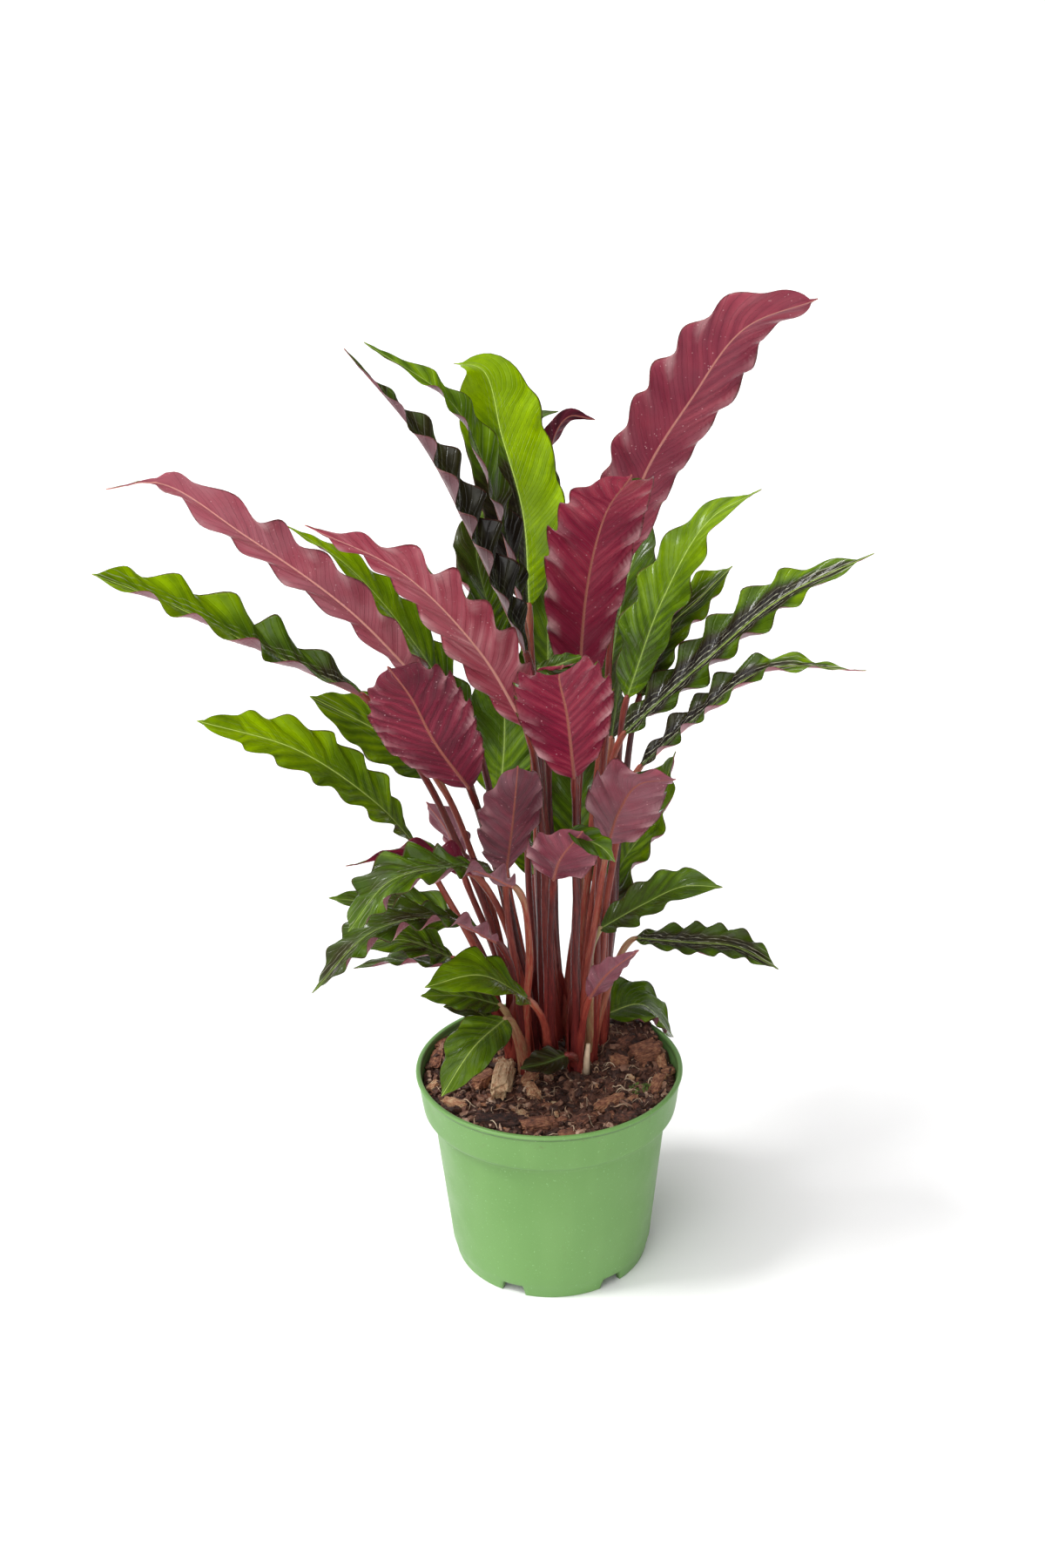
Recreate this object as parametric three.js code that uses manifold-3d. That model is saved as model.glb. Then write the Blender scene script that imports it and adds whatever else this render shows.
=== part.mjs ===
// A furry feather calathea in its nursery pot, in millimetres, +Z up.
// The origin is the centre of the pot's foot, on the surface that it stands on, and -Y is the front.
// Long waved leaves, green above and maroon beneath, stand on red stalks. The stalks rise in
// shoots, and each shoot stands in a plain hole in the soil.
import * as THREE from 'three';
import { mergeVertices } from 'three/addons/utils/BufferGeometryUtils.js';
import Module from 'manifold-3d';

const wasm = await Module();
wasm.setup();

// Pot: a 140 mm injection-moulded nursery pot
const POT_HEIGHT = 109.6;
const RIM_RADIUS = 70;
const LIP_HEIGHT = 2.2;
const LIP_PROUD = 1.0;
const BAND_HEIGHT = 21;
const BAND_FOOT_RADIUS = 66.8;
const WALL_TOP_RADIUS = 61.4;
const WALL_FOOT_RADIUS = 53.5;
const FOOT_RADIUS = 51.3;
const FOOT_HEIGHT = 6.6;
const FOOT_RING_WIDTH = 2.4;
const PAN_RADIUS = 34;
const POT_WALL = 1.6;
const POT_FLOOR = 2;
const POT_SIDES = 36;
const NOTCH_COUNT = 6;
const NOTCH_WIDTH = 11.8;
const NOTCH_TURN = -24.2;

// Soil: fills the pot to just under the rim
const SOIL_TOP = 103;
const SOIL_GAP = 0.3;
const SOIL_ROUGHNESS = 1.6;
const MOUND_HEIGHT = 10;
const MOUND_X = 46;
const MOUND_Y = 38;
const MOUND_SPREAD = 380;
const CHIP_COUNT = 14;

// Shoots: the sheathed feet of the stalks
const SHEATH_RADIUS = 5.4;
const SHEATH_SIDES = 8;
const SHEATH_FOOT = 88;
const SHEATH_SHOULDER = 113;
const SHEATH_TOP = 134;
const HOLE_GAP = 0.3;
const STALK_FOOT_RADIUS = 2.7;
const STALK_TOP_RADIUS = 1.6;
const STALK_SIDES = 5;
const STALK_RINGS = 7;
const COLLAR_GAP = 0.45;
const COLLAR_HALF_WIDTH = 1.6;

// Stalk curves, as shares of a stalk's length: how far it rises straight from its foot and how far it
// leans, and how far it follows the midrib back from its collar and drops
const STALK_RISE = 0.34;
const STALK_LEAN = 0.04;
const STALK_REACH = 0.13;
const STALK_DROP = 0.04;

// Blades: the points across a blade are shares of its half width. A wave's height is a share of the
// blade's width, drawn between two limits, and it grows from the midrib to the margin by a power
const BLADE_THICKNESS = 0.9;
const MIDRIB_THICKNESS = 1.7;
const BLADE_COLUMNS = [-1, -0.6, 0, 0.6, 1];
const BASE_TAPER = 0.6;
const WAVE_HEIGHT = 0.14;
const WAVE_LOWEST = 0.6;
const WAVE_RANGE = 0.8;
const WAVE_SHIFT = 0.5;
const WAVE_EDGE = 1.8;

// Where each shoot stands in the soil, as x and y
const SHOOTS = {
  a: [-12, 4],
  b: [1, 4],
  c: [14, 4],
  d: [-18.5, 15.3],
  e: [-5.5, 15.3],
  g: [21.5, 16],
  h: [-12, 26.6],
  i: [1, 26.6],
  j: [14, 26.6],
  k: [27, 26.6],
  l: [-5.5, 37.9],
  m: [7.5, 37.9],
};

// Each leaf: its shoot, the side that the front shows, its full width, how slender its end is, the share
// of its length that is a thin tip, its roll about the midrib in degrees, level across at 0 and with its
// right edge up above 0, how much further it is rolled at the tip, how deep it is folded along the
// midrib, the length of its waves, how strongly its margins wave, and the route of its midrib from the
// collar to the tip
const leaf = (shoot, shows, width, taper, tail, roll, twist, keel, wave, ruffle, ...path) => (
  { shoot, shows, width, taper, tail, roll, twist, keel, wave, ruffle, path }
);

const LEAVES = [
  // Low leaves at the front left
  leaf('a', 'green', 29, 0.6, 0.05, -24, 46, 0.22, 15, 0.85,
    [-25, -28, 196], [-50, -42, 216], [-83, -54, 216], [-113, -62, 188]),
  leaf('a', 'green', 28, 0.8, 0.03, 15, 0, 0.18, 20, 0.45,
    [-22, -23, 150], [-38, -41, 144], [-54, -53, 124]),
  leaf('a', 'green', 31, 0.55, 0.03, -35, 69, 0.22, 15, 0.95,
    [-16, -39, 231], [-38, -52, 247], [-72, -66, 248], [-93, -72, 225]),
  leaf('a', 'maroon', 33, 0.6, 0.03, -10, 0, 0.2, 17, 0.5,
    [-20, -21, 231], [-16, -38, 266], [-13, -60, 301]),
  leaf('a', 'green', 19, 0.8, 0.03, 35, 0, 0.22, 16, 0.6,
    [-25, -9, 150], [-43, -17, 160], [-64, -25, 165]),
  // Front centre
  leaf('b', 'maroon', 37, 0.7, 0.02, -28, 0, 0.18, 22, 0.7,
    [-9, -36, 311], [-29, -56, 355], [-61, -76, 397], [-98, -92, 421]),
  leaf('b', 'maroon', 34, 0.7, 0.03, 20, 0, 0.2, 18, 0.6,
    [3, -36, 233], [6, -62, 256], [15, -92, 282]),
  leaf('b', 'green', 32, 0.8, 0.03, 25, 0, 0.2, 20, 0.45,
    [-10, -36, 168], [-34, -55, 192], [-59, -68, 193]),
  leaf('c', 'maroon', 40, 0.4, 0.03, 0, 0, 0.2, 24, 0.5,
    [16, -10, 310], [19, -46, 378], [25, -86, 421], [33, -135, 448]),
  leaf('c', 'maroon', 44, 0.6, 0.03, -12, 0, 0.18, 16, 0.45,
    [13, -46, 289], [9, -76, 331], [5, -108, 359], [6, -130, 371]),
  leaf('c', 'maroon', 36, 0.7, 0.03, 38, 0, 0.2, 16, 0.7,
    [30, -26, 247], [34, -44, 271], [42, -62, 292], [57, -78, 300]),
  leaf('c', 'maroon', 15, 0.8, 0.03, 40, 0, 0.3, 14, 0.5,
    [21, -12, 155], [30, -26, 177], [44, -38, 195]),
  leaf('c', 'green', 18, 0.8, 0.03, 20, 0, 0.2, 16, 0.5,
    [9, -11, 121], [-3, -19, 121], [-15, -25, 122]),
  // Left side
  leaf('d', 'green', 31, 0.65, 0.02, 38, 0, 0.25, 20, 0.7,
    [-65, -12, 243], [-82, -22, 269], [-116, -34, 301], [-158, -50, 322]),
  leaf('d', 'green', 26, 0.9, 0.03, 18, 0, 0.22, 16, 0.7,
    [-48, -10, 178], [-73, -16, 192], [-101, -24, 192]),
  leaf('d', 'green', 28, 0.9, 0.03, 22, 0, 0.22, 18, 0.7,
    [-44, 13, 186], [-75, 12, 197], [-111, 9, 204]),
  leaf('d', 'green', 24, 0.9, 0.03, -10, 0, 0.22, 16, 0.7,
    [-47, 6, 165], [-73, 6, 169], [-100, 4, 166]),
  leaf('d', 'green', 20, 0.8, 0.03, 30, 0, 0.22, 15, 0.6,
    [-27, 18, 122], [-41, 17, 134], [-55, 14, 137]),
  leaf('e', 'maroon', 31, 0.4, 0.12, -40, 0, 0.2, 26, 0.6,
    [-55, -18, 325], [-88, -32, 368], [-130, -50, 408], [-162, -60, 433], [-184, -66, 432]),
  leaf('e', 'maroon', 44, 0.6, 0.03, -30, 0, 0.18, 14, 0.35,
    [-36, -36, 281], [-50, -64, 315], [-58, -92, 346], [-65, -118, 368]),
  leaf('e', 'maroon', 26, 1, 0.12, -40, 0, 0.25, 17, 0.8,
    [-35, -18, 227], [-62, -28, 244], [-96, -38, 243]),
  leaf('h', 'green', 32, 0.6, 0.02, 8, 14, 0.5, 26, 1,
    [-87, -6, 318], [-132, -14, 344], [-169, -22, 368], [-202, -34, 387]),
  leaf('h', 'green', 36, 0.9, 0.03, 18, 0, 0.22, 22, 0.6,
    [-34, 8, 288], [-60, 6, 337], [-91, 2, 379], [-117, -4, 400]),
  leaf('h', 'green', 36, 0.8, 0.03, 40, 0, 0.22, 18, 0.6,
    [-56, 17, 268], [-79, 14, 290], [-114, 11, 312]),
  leaf('h', 'maroon', 26, 0.7, 0.03, -70, 0, 0.22, 18, 0.5,
    [-43, 28, 209], [-50, 34, 229], [-61, 38, 244]),
  // Tall leaves at the left back
  leaf('i', 'green', 25, 0.8, 0.1, 4, -10, 0.6, 21, 1.15,
    [-8, 20, 329], [-32, 28, 384], [-55, 36, 429], [-91, 45, 473]),
  leaf('i', 'green', 23, 0.85, 0.03, -45, 72, 0.4, 22, 0.8,
    [-9, 40, 340], [-20, 52, 391], [-40, 64, 441], [-84, 74, 472]),
  // Right side
  leaf('g', 'maroon', 42, 0.5, 0.02, 40, 0, 0.2, 20, 0.5,
    [36, -8, 379], [46, -16, 422], [66, -28, 459], [87, -40, 490], [116, -48, 502]),
  leaf('g', 'green', 22, 0.8, 0.08, -20, 16, 0.35, 18, 0.95,
    [47, 0, 276], [75, -8, 305], [105, -14, 329], [150, -24, 331]),
  leaf('g', 'green', 27, 0.75, 0.03, -28, 0, 0.22, 16, 0.5,
    [27, -8, 192], [48, -16, 209], [67, -24, 222], [85, -30, 224]),
  leaf('g', 'green', 24, 0.65, 0.03, -14, 0, 0.25, 13, 0.65,
    [46, 14, 175], [72, 6, 176], [96, -2, 177], [117, -10, 168]),
  leaf('j', 'green', 18, 0.8, 0.03, 10, 0, 0.22, 18, 0.7,
    [35, 38, 277], [38, 41, 297], [42, 44, 324]),
  leaf('j', 'green', 38, 0.8, 0.03, 0, 0, 0.22, 22, 0.7,
    [33, 60, 291], [44, 86, 340], [59, 112, 380]),
  leaf('j', 'maroon', 16, 0.7, 0.03, 70, 0, 0.3, 22, 0.5,
    [18, 84, 355], [9, 112, 390], [8, 124, 412], [17, 126, 425], [31, 126, 423]),
  leaf('k', 'green', 35, 0.85, 0.03, -12, 0, 0.22, 23, 0.6,
    [42, 26, 303], [60, 36, 350], [83, 45, 387], [109, 50, 401]),
  leaf('k', 'green', 30, 0.6, 0.03, -16, 0, 0.3, 18, 0.7,
    [49, 36, 300], [63, 46, 331], [79, 54, 344], [97, 60, 360]),
  leaf('k', 'green', 30, 0.7, 0.05, -26, 0, 0.3, 21, 1,
    [40, 15, 288], [75, 12, 322], [115, 8, 358], [156, 2, 380]),
  leaf('k', 'green', 38, 0.55, 0.03, 2, 0, 0.22, 21, 0.7,
    [31, 40, 168], [40, 48, 200], [56, 56, 222], [70, 62, 260]),
  leaf('k', 'green', 38, 0.7, 0.03, -12, 0, 0.2, 12, 0.35,
    [31, 36, 118], [52, 46, 118], [70, 50, 95]),
  // Back
  leaf('l', 'green', 40, 0.8, 0.03, 0, 0, 0.22, 22, 0.6,
    [-23, 44, 243], [-20, 56, 270], [-20, 66, 300], [-22, 72, 323]),
  leaf('l', 'green', 36, 0.8, 0.03, -20, 0, 0.22, 22, 0.7,
    [-17, 84, 300], [-28, 104, 332], [-33, 121, 360], [-22, 134, 380]),
  leaf('l', 'green', 36, 0.8, 0.03, 0, 0, 0.22, 22, 0.7,
    [-6, 62, 189], [-16, 98, 229], [-24, 134, 250]),
  leaf('m', 'green', 47, 0.45, 0.03, 8, 0, 0.2, 30, 0.2,
    [-6, 52, 344], [-8, 76, 385], [-18, 96, 421], [-27, 110, 452], [-42, 116, 455]),
  leaf('m', 'green', 14, 0.6, 0.03, -40, 0, 0.22, 20, 0.6,
    [-7, 88, 355], [-9, 122, 396], [0, 134, 423], [12, 136, 426]),
  leaf('m', 'green', 34, 0.8, 0.03, 0, 0, 0.22, 22, 0.7,
    [3, 70, 256], [4, 101, 298], [5, 136, 340]),
  leaf('m', 'green', 40, 0.8, 0.03, 0, 0, 0.22, 22, 0.7,
    [20, 62, 194], [18, 92, 232], [16, 136, 262]),
];

const COLOURS = {
  pot: 0x7fbb6b,
  soil: 0x3f2a21,
  stalk: 0x783c37,
  green: 0x2f6414,
  maroon: 0x7a2f3d,
};

const UP = new THREE.Vector3(0, 0, 1);

const material = (colour, roughness) => (
  new THREE.MeshStandardMaterial({ color: colour, roughness, metalness: 0 })
);

const node = (name, geometry, finish) => {
  const mesh = new THREE.Mesh(geometry, finish);
  mesh.name = name;
  return mesh;
};

// A small repeatable random source
const randomSource = (seed) => {
  let state = seed;
  return () => {
    state = (state * 1664525 + 1013904223) % 4294967296;
    return state / 4294967296;
  };
};

const geometryFrom = (points, faces) => {
  const geometry = new THREE.BufferGeometry();
  const flat = points.flatMap((p) => [p.x, p.y, p.z]);
  geometry.setAttribute('position', new THREE.Float32BufferAttribute(flat, 3));
  geometry.setIndex(faces.flat());
  return geometry;
};

const solidFrom = (geometry) => {
  const bare = geometry.clone();
  bare.deleteAttribute('normal');
  bare.deleteAttribute('uv');
  const merged = mergeVertices(bare, 1e-4);
  const mesh = new wasm.Mesh({
    numProp: 3,
    vertProperties: new Float32Array(merged.attributes.position.array),
    triVerts: new Uint32Array(merged.index.array),
  });
  return new wasm.Manifold(mesh);
};

// The largest body only, so that a hollow sealed by joining is filled
const largestBody = (solid) => {
  const bodies = solid.decompose();
  return bodies.reduce((best, body) => (body.volume() > best.volume() ? body : best));
};

const geometryOf = (solid) => {
  const mesh = largestBody(solid).getMesh();
  const geometry = new THREE.BufferGeometry();
  geometry.setAttribute('position', new THREE.BufferAttribute(new Float32Array(mesh.vertProperties), 3));
  geometry.setIndex(new THREE.BufferAttribute(new Uint32Array(mesh.triVerts), 1));
  return geometry;
};

const joined = (solids) => solids.reduce((whole, solid) => whole.add(solid));

// A closed body through rings of equal point counts, from the first ring to the last
const loft = (rings) => {
  const sides = rings[0].length;
  const points = rings.flat();
  const faces = [];
  for (let k = 0; k + 1 < rings.length; k += 1) {
    for (let i = 0; i < sides; i += 1) {
      const j = (i + 1) % sides;
      const a = k * sides;
      const b = a + sides;
      faces.push([a + i, a + j, b + j], [a + i, b + j, b + i]);
    }
  }
  const last = (rings.length - 1) * sides;
  for (let i = 1; i + 1 < sides; i += 1) {
    faces.push([0, i + 1, i], [last, last + i, last + i + 1]);
  }
  return geometryFrom(points, faces);
};

const ring = (centre, along, radius, sides) => {
  const across = new THREE.Vector3(1, 0, 0).addScaledVector(along, -along.x).normalize();
  const other = new THREE.Vector3().crossVectors(along, across);
  return Array.from({ length: sides }, (_, i) => {
    const angle = (i / sides) * 2 * Math.PI;
    return centre.clone()
      .addScaledVector(across, radius * Math.cos(angle))
      .addScaledVector(other, radius * Math.sin(angle));
  });
};

const lathe = (profile, sides) => {
  const geometry = new THREE.LatheGeometry(profile.map(([r, z]) => new THREE.Vector2(r, z)), sides);
  geometry.rotateX(Math.PI / 2);
  return geometry;
};

// Pot outline, up the outside from the centre of the underside and down the inside again
const potProfile = () => {
  const bandFoot = POT_HEIGHT - BAND_HEIGHT;
  const wallTop = bandFoot - 4;
  const lipRadius = RIM_RADIUS - LIP_PROUD;
  const ringInner = FOOT_RADIUS - FOOT_RING_WIDTH;
  return [
    [0, 0],
    [PAN_RADIUS, 0],
    [PAN_RADIUS + 2, FOOT_HEIGHT],
    [ringInner, FOOT_HEIGHT],
    [ringInner, 0],
    [FOOT_RADIUS, 0],
    [FOOT_RADIUS + 0.8, FOOT_HEIGHT * 0.5],
    [WALL_FOOT_RADIUS, FOOT_HEIGHT + 2],
    [WALL_TOP_RADIUS, wallTop],
    [BAND_FOOT_RADIUS - 1.6, bandFoot - 1.2],
    [BAND_FOOT_RADIUS, bandFoot + 1.2],
    [lipRadius, POT_HEIGHT - LIP_HEIGHT],
    [RIM_RADIUS, POT_HEIGHT - LIP_HEIGHT + 0.6],
    [RIM_RADIUS, POT_HEIGHT - 0.6],
    [RIM_RADIUS - 0.6, POT_HEIGHT],
    [lipRadius - POT_WALL + 0.4, POT_HEIGHT],
    [lipRadius - POT_WALL, POT_HEIGHT - 0.6],
    [BAND_FOOT_RADIUS - POT_WALL, bandFoot + 1.2],
    [WALL_TOP_RADIUS - POT_WALL, wallTop - 0.6],
    [WALL_FOOT_RADIUS - POT_WALL, FOOT_HEIGHT + POT_FLOOR],
    [PAN_RADIUS + 1, FOOT_HEIGHT + POT_FLOOR],
    [PAN_RADIUS - 1, POT_FLOOR],
    [0, POT_FLOOR],
  ];
};

// A slant-sided cutter for one notch between two feet
const notchCutter = (angle) => {
  const half = NOTCH_WIDTH / 2;
  const slant = 1.2;
  const outline = new THREE.Shape([
    new THREE.Vector2(-half - slant, -1),
    new THREE.Vector2(half + slant, -1),
    new THREE.Vector2(half - slant, FOOT_HEIGHT - 0.3),
    new THREE.Vector2(-half + slant, FOOT_HEIGHT - 0.3),
  ]);
  const geometry = new THREE.ExtrudeGeometry(outline, { depth: 12, bevelEnabled: false, steps: 1 });
  geometry.rotateX(Math.PI / 2);
  geometry.translate(0, -FOOT_RADIUS + 8, 0);
  geometry.rotateZ(angle);
  return solidFrom(geometry);
};

const potGeometry = () => {
  let pot = solidFrom(lathe(potProfile(), POT_SIDES));
  for (let k = 0; k < NOTCH_COUNT; k += 1) {
    const angle = THREE.MathUtils.degToRad(NOTCH_TURN + (k * 360) / NOTCH_COUNT);
    pot = pot.subtract(notchCutter(angle));
  }
  return geometryOf(pot);
};

// Unevenness of the soil: broad mounds and small crumbs, from sines of unlike pitch
const soilRise = (x, y) => {
  const mound = MOUND_HEIGHT * Math.exp(-((x - MOUND_X) ** 2 + (y - MOUND_Y) ** 2) / MOUND_SPREAD);
  const broad = Math.sin(x * 0.17 + 1.3) * Math.cos(y * 0.15 - 0.6);
  const crumbs = Math.sin(x * 0.61 + y * 0.23) * Math.sin(y * 0.57 - x * 0.31 + 2.1);
  return mound + SOIL_ROUGHNESS * (0.5 * broad + 0.7 * crumbs);
};

const soilTopRadius = () => {
  const bandFoot = POT_HEIGHT - BAND_HEIGHT;
  const low = bandFoot + 1.2;
  const share = (SOIL_TOP - low) / (POT_HEIGHT - 0.6 - low);
  const inner = BAND_FOOT_RADIUS + share * (RIM_RADIUS - LIP_PROUD - BAND_FOOT_RADIUS) - POT_WALL;
  return inner - 2 * SOIL_GAP;
};

const soilBody = () => {
  const bandFoot = POT_HEIGHT - BAND_HEIGHT;
  const top = soilTopRadius();
  const profile = [
    [0, POT_FLOOR + SOIL_GAP],
    [PAN_RADIUS - 1.4, POT_FLOOR + SOIL_GAP],
    [PAN_RADIUS + 0.6, FOOT_HEIGHT + POT_FLOOR + SOIL_GAP],
    [WALL_FOOT_RADIUS - POT_WALL - 2 * SOIL_GAP, FOOT_HEIGHT + POT_FLOOR + SOIL_GAP],
    [WALL_TOP_RADIUS - POT_WALL - 2 * SOIL_GAP, bandFoot - 5],
    [BAND_FOOT_RADIUS - POT_WALL - 3 * SOIL_GAP, bandFoot + 1.4],
    [top, SOIL_TOP],
    [top * 0.87, SOIL_TOP],
    [top * 0.72, SOIL_TOP],
    [top * 0.56, SOIL_TOP],
    [top * 0.4, SOIL_TOP],
    [top * 0.2, SOIL_TOP],
    [0, SOIL_TOP],
  ];
  const geometry = lathe(profile, POT_SIDES);
  const place = geometry.attributes.position;
  for (let i = 0; i < place.count; i += 1) {
    const x = place.getX(i);
    const y = place.getY(i);
    const inside = Math.hypot(x, y) < top - 1;
    if (place.getZ(i) > SOIL_TOP - 0.1 && inside) {
      place.setZ(i, SOIL_TOP + soilRise(x, y));
    }
  }
  return solidFrom(geometry);
};

// A wedge of bark lying in the soil
const barkChip = (random) => {
  const turn = random() * 2 * Math.PI;
  const reach = 34 + 26 * random();
  const length = 8 + 8 * random();
  const width = 4 + 4 * random();
  const geometry = new THREE.BoxGeometry(length, width, 7);
  const place = geometry.attributes.position;
  for (let i = 0; i < place.count; i += 1) {
    const topSide = place.getZ(i) > 0;
    place.setX(i, place.getX(i) * (topSide ? 0.7 : 1));
    place.setY(i, place.getY(i) * (topSide ? 0.55 : 1));
  }
  geometry.rotateY(0.3 * (random() - 0.5));
  geometry.rotateZ(random() * Math.PI);
  geometry.translate(reach * Math.cos(turn), reach * Math.sin(turn), SOIL_TOP);
  return solidFrom(geometry);
};

const shootHole = ([x, y]) => {
  const radius = SHEATH_RADIUS + HOLE_GAP / Math.cos(Math.PI / SHEATH_SIDES);
  const low = new THREE.Vector3(x, y, SHEATH_FOOT - HOLE_GAP);
  const high = new THREE.Vector3(x, y, SOIL_TOP + 12);
  return solidFrom(loft([ring(low, UP, radius, SHEATH_SIDES), ring(high, UP, radius, SHEATH_SIDES)]));
};

const soilGeometry = () => {
  const random = randomSource(11);
  let soil = soilBody();
  for (let k = 0; k < CHIP_COUNT; k += 1) {
    soil = soil.add(barkChip(random));
  }
  for (const place of Object.values(SHOOTS)) {
    soil = soil.subtract(shootHole(place));
  }
  return geometryOf(soil);
};

// The midrib as a smooth curve through its points
const midribOf = ({ path }) => {
  const points = path.map((p) => new THREE.Vector3(...p));
  return new THREE.CatmullRomCurve3(points, false, 'centripetal');
};

// One stalk, from inside the sheath to the collar, in line with the midrib where it ends
const stalkSolid = (leafData) => {
  const [x, y] = SHOOTS[leafData.shoot];
  const midrib = midribOf(leafData);
  const collar = midrib.getPointAt(0);
  const heading = midrib.getTangentAt(0);
  const lean = new THREE.Vector3(collar.x - x, collar.y - y, 0).normalize();
  const foot = new THREE.Vector3(x, y, SHEATH_SHOULDER - 6).addScaledVector(lean, 2);
  const span = collar.distanceTo(foot);
  const first = foot.clone().addScaledVector(UP, span * STALK_RISE).addScaledVector(lean, span * STALK_LEAN);
  const second = collar.clone().addScaledVector(heading, -span * STALK_REACH);
  second.addScaledVector(UP, -span * STALK_DROP);
  const curve = new THREE.CubicBezierCurve3(foot, first, second, collar);
  const rings = [];
  for (let k = 0; k < STALK_RINGS; k += 1) {
    const t = k / (STALK_RINGS - 1);
    const radius = STALK_FOOT_RADIUS + t * (STALK_TOP_RADIUS - STALK_FOOT_RADIUS);
    rings.push(ring(curve.getPoint(t), curve.getTangent(t), radius, STALK_SIDES));
  }
  return solidFrom(loft(rings));
};

const sheathSolid = ([x, y]) => {
  const at = (z, radius) => ring(new THREE.Vector3(x, y, z), UP, radius, SHEATH_SIDES);
  return solidFrom(loft([
    at(SHEATH_FOOT, SHEATH_RADIUS),
    at(SHEATH_SHOULDER, SHEATH_RADIUS),
    at(SHEATH_TOP, SHEATH_RADIUS * 0.55),
  ]));
};

const shootGeometry = (letter) => {
  const leaves = LEAVES.filter(({ shoot }) => shoot === letter);
  const stalks = leaves.map(stalkSolid);
  return geometryOf(joined([sheathSolid(SHOOTS[letter]), ...stalks]));
};

// Half width of a blade along its length, as a share of the widest
const bladeOutline = (t, taper, tail) => {
  const widest = BASE_TAPER / (BASE_TAPER + taper);
  const shape = (at) => at ** BASE_TAPER * (1 - at) ** taper;
  return shape(Math.min(t / (1 - tail), 1)) / shape(widest);
};

// A closed blade: a keeled lens of five points across, with a crest or a trough of its waved margins
// at each station, split alike on both faces
const bladeGeometry = (leafData, seed) => {
  const random = randomSource(seed);
  const midrib = midribOf(leafData);
  const waves = Math.max(3, Math.round(midrib.getLength() / leafData.wave));
  const stations = 2 * waves + 1;
  const flip = random() < 0.5 ? -1 : 1;
  const tops = [];
  const bottoms = [];
  for (let k = 0; k < stations; k += 1) {
    const t = k === 0 ? 0 : (k + WAVE_SHIFT * (random() - 0.5)) / stations;
    const along = midrib.getTangentAt(t);
    const roll = THREE.MathUtils.degToRad(leafData.roll + leafData.twist * t);
    const level = new THREE.Vector3().crossVectors(along, UP).normalize();
    const rise = new THREE.Vector3().crossVectors(level, along);
    const side = level.clone().multiplyScalar(Math.cos(roll)).addScaledVector(rise, Math.sin(roll));
    const face = new THREE.Vector3().crossVectors(side, along);
    const centre = midrib.getPointAt(t).addScaledVector(along, k === 0 ? COLLAR_GAP : 0);
    const share = bladeOutline(t, leafData.taper, leafData.tail);
    const half = Math.max(COLLAR_HALF_WIDTH, (leafData.width / 2) * share);
    const swing = k % 2 === 0 ? 1 : -1;
    const height = k === 0 ? 0 : swing * WAVE_HEIGHT * leafData.ruffle * half * 2;
    const left = k === 0 ? 0 : flip * height * (WAVE_LOWEST + WAVE_RANGE * random());
    const right = k === 0 ? 0 : height * (WAVE_LOWEST + WAVE_RANGE * random());
    BLADE_COLUMNS.forEach((v) => {
      const wave = (v < 0 ? left : right) * Math.abs(v) ** WAVE_EDGE;
      const lift = leafData.keel * Math.abs(v) * half + wave;
      const thick = v === 0 ? MIDRIB_THICKNESS * (1 - 0.5 * t) : BLADE_THICKNESS;
      const place = centre.clone().addScaledVector(side, v * half).addScaledVector(face, lift);
      if (Math.abs(v) === 1) {
        tops.push(place);
        bottoms.push(place);
        return;
      }
      tops.push(place.clone().addScaledVector(face, thick / 2));
      bottoms.push(place.clone().addScaledVector(face, -thick / 2));
    });
  }
  return closedBlade(tops, bottoms, midrib.getPointAt(1), BLADE_COLUMNS.length, stations);
};

// Joins the two faces of a blade at their edges, at the collar and at the tip
const closedBlade = (tops, bottoms, tip, across, stations) => {
  const points = [...tops, ...bottoms, tip];
  const under = tops.length;
  const end = points.length - 1;
  const faces = [];
  for (let k = 0; k + 1 < stations; k += 1) {
    for (let c = 0; c + 1 < across; c += 1) {
      const a = k * across + c;
      const b = a + across;
      faces.push([a, a + 1, b + 1], [a, b + 1, b]);
      faces.push([under + a, under + b + 1, under + a + 1], [under + a, under + b, under + b + 1]);
    }
  }
  const last = (stations - 1) * across;
  for (let c = 0; c + 1 < across; c += 1) {
    faces.push([last + c, last + c + 1, end], [under + last + c + 1, under + last + c, end]);
    faces.push([c, under + c, under + c + 1], [c, under + c + 1, c + 1]);
  }
  const geometry = mergeVertices(geometryFrom(points, faces), 1e-4);
  const index = Array.from(geometry.index.array);
  const kept = [];
  for (let i = 0; i < index.length; i += 3) {
    const [a, b, c] = [index[i], index[i + 1], index[i + 2]];
    if (a !== b && b !== c && c !== a) {
      kept.push(a, b, c);
    }
  }
  geometry.setIndex(kept);
  return geometry;
};

const plant = new THREE.Group();
plant.add(node('pot', potGeometry(), material(COLOURS.pot, 0.45)));
plant.add(node('soil', soilGeometry(), material(COLOURS.soil, 0.95)));
for (const letter of Object.keys(SHOOTS)) {
  plant.add(node(`shoot_${letter}_stalks`, shootGeometry(letter), material(COLOURS.stalk, 0.5)));
}
LEAVES.forEach((leafData, i) => {
  const { shoot, shows } = leafData;
  const order = LEAVES.slice(0, i + 1).filter((other) => other.shoot === shoot).length;
  const name = `shoot_${shoot}_blade_${order}`;
  plant.add(node(name, bladeGeometry(leafData, 100 + i), material(COLOURS[shows], 0.4)));
});

export default plant;
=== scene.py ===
import math
from collections import namedtuple

import bmesh
import bpy
import numpy as np
from mathutils import Matrix, Vector, noise


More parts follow.
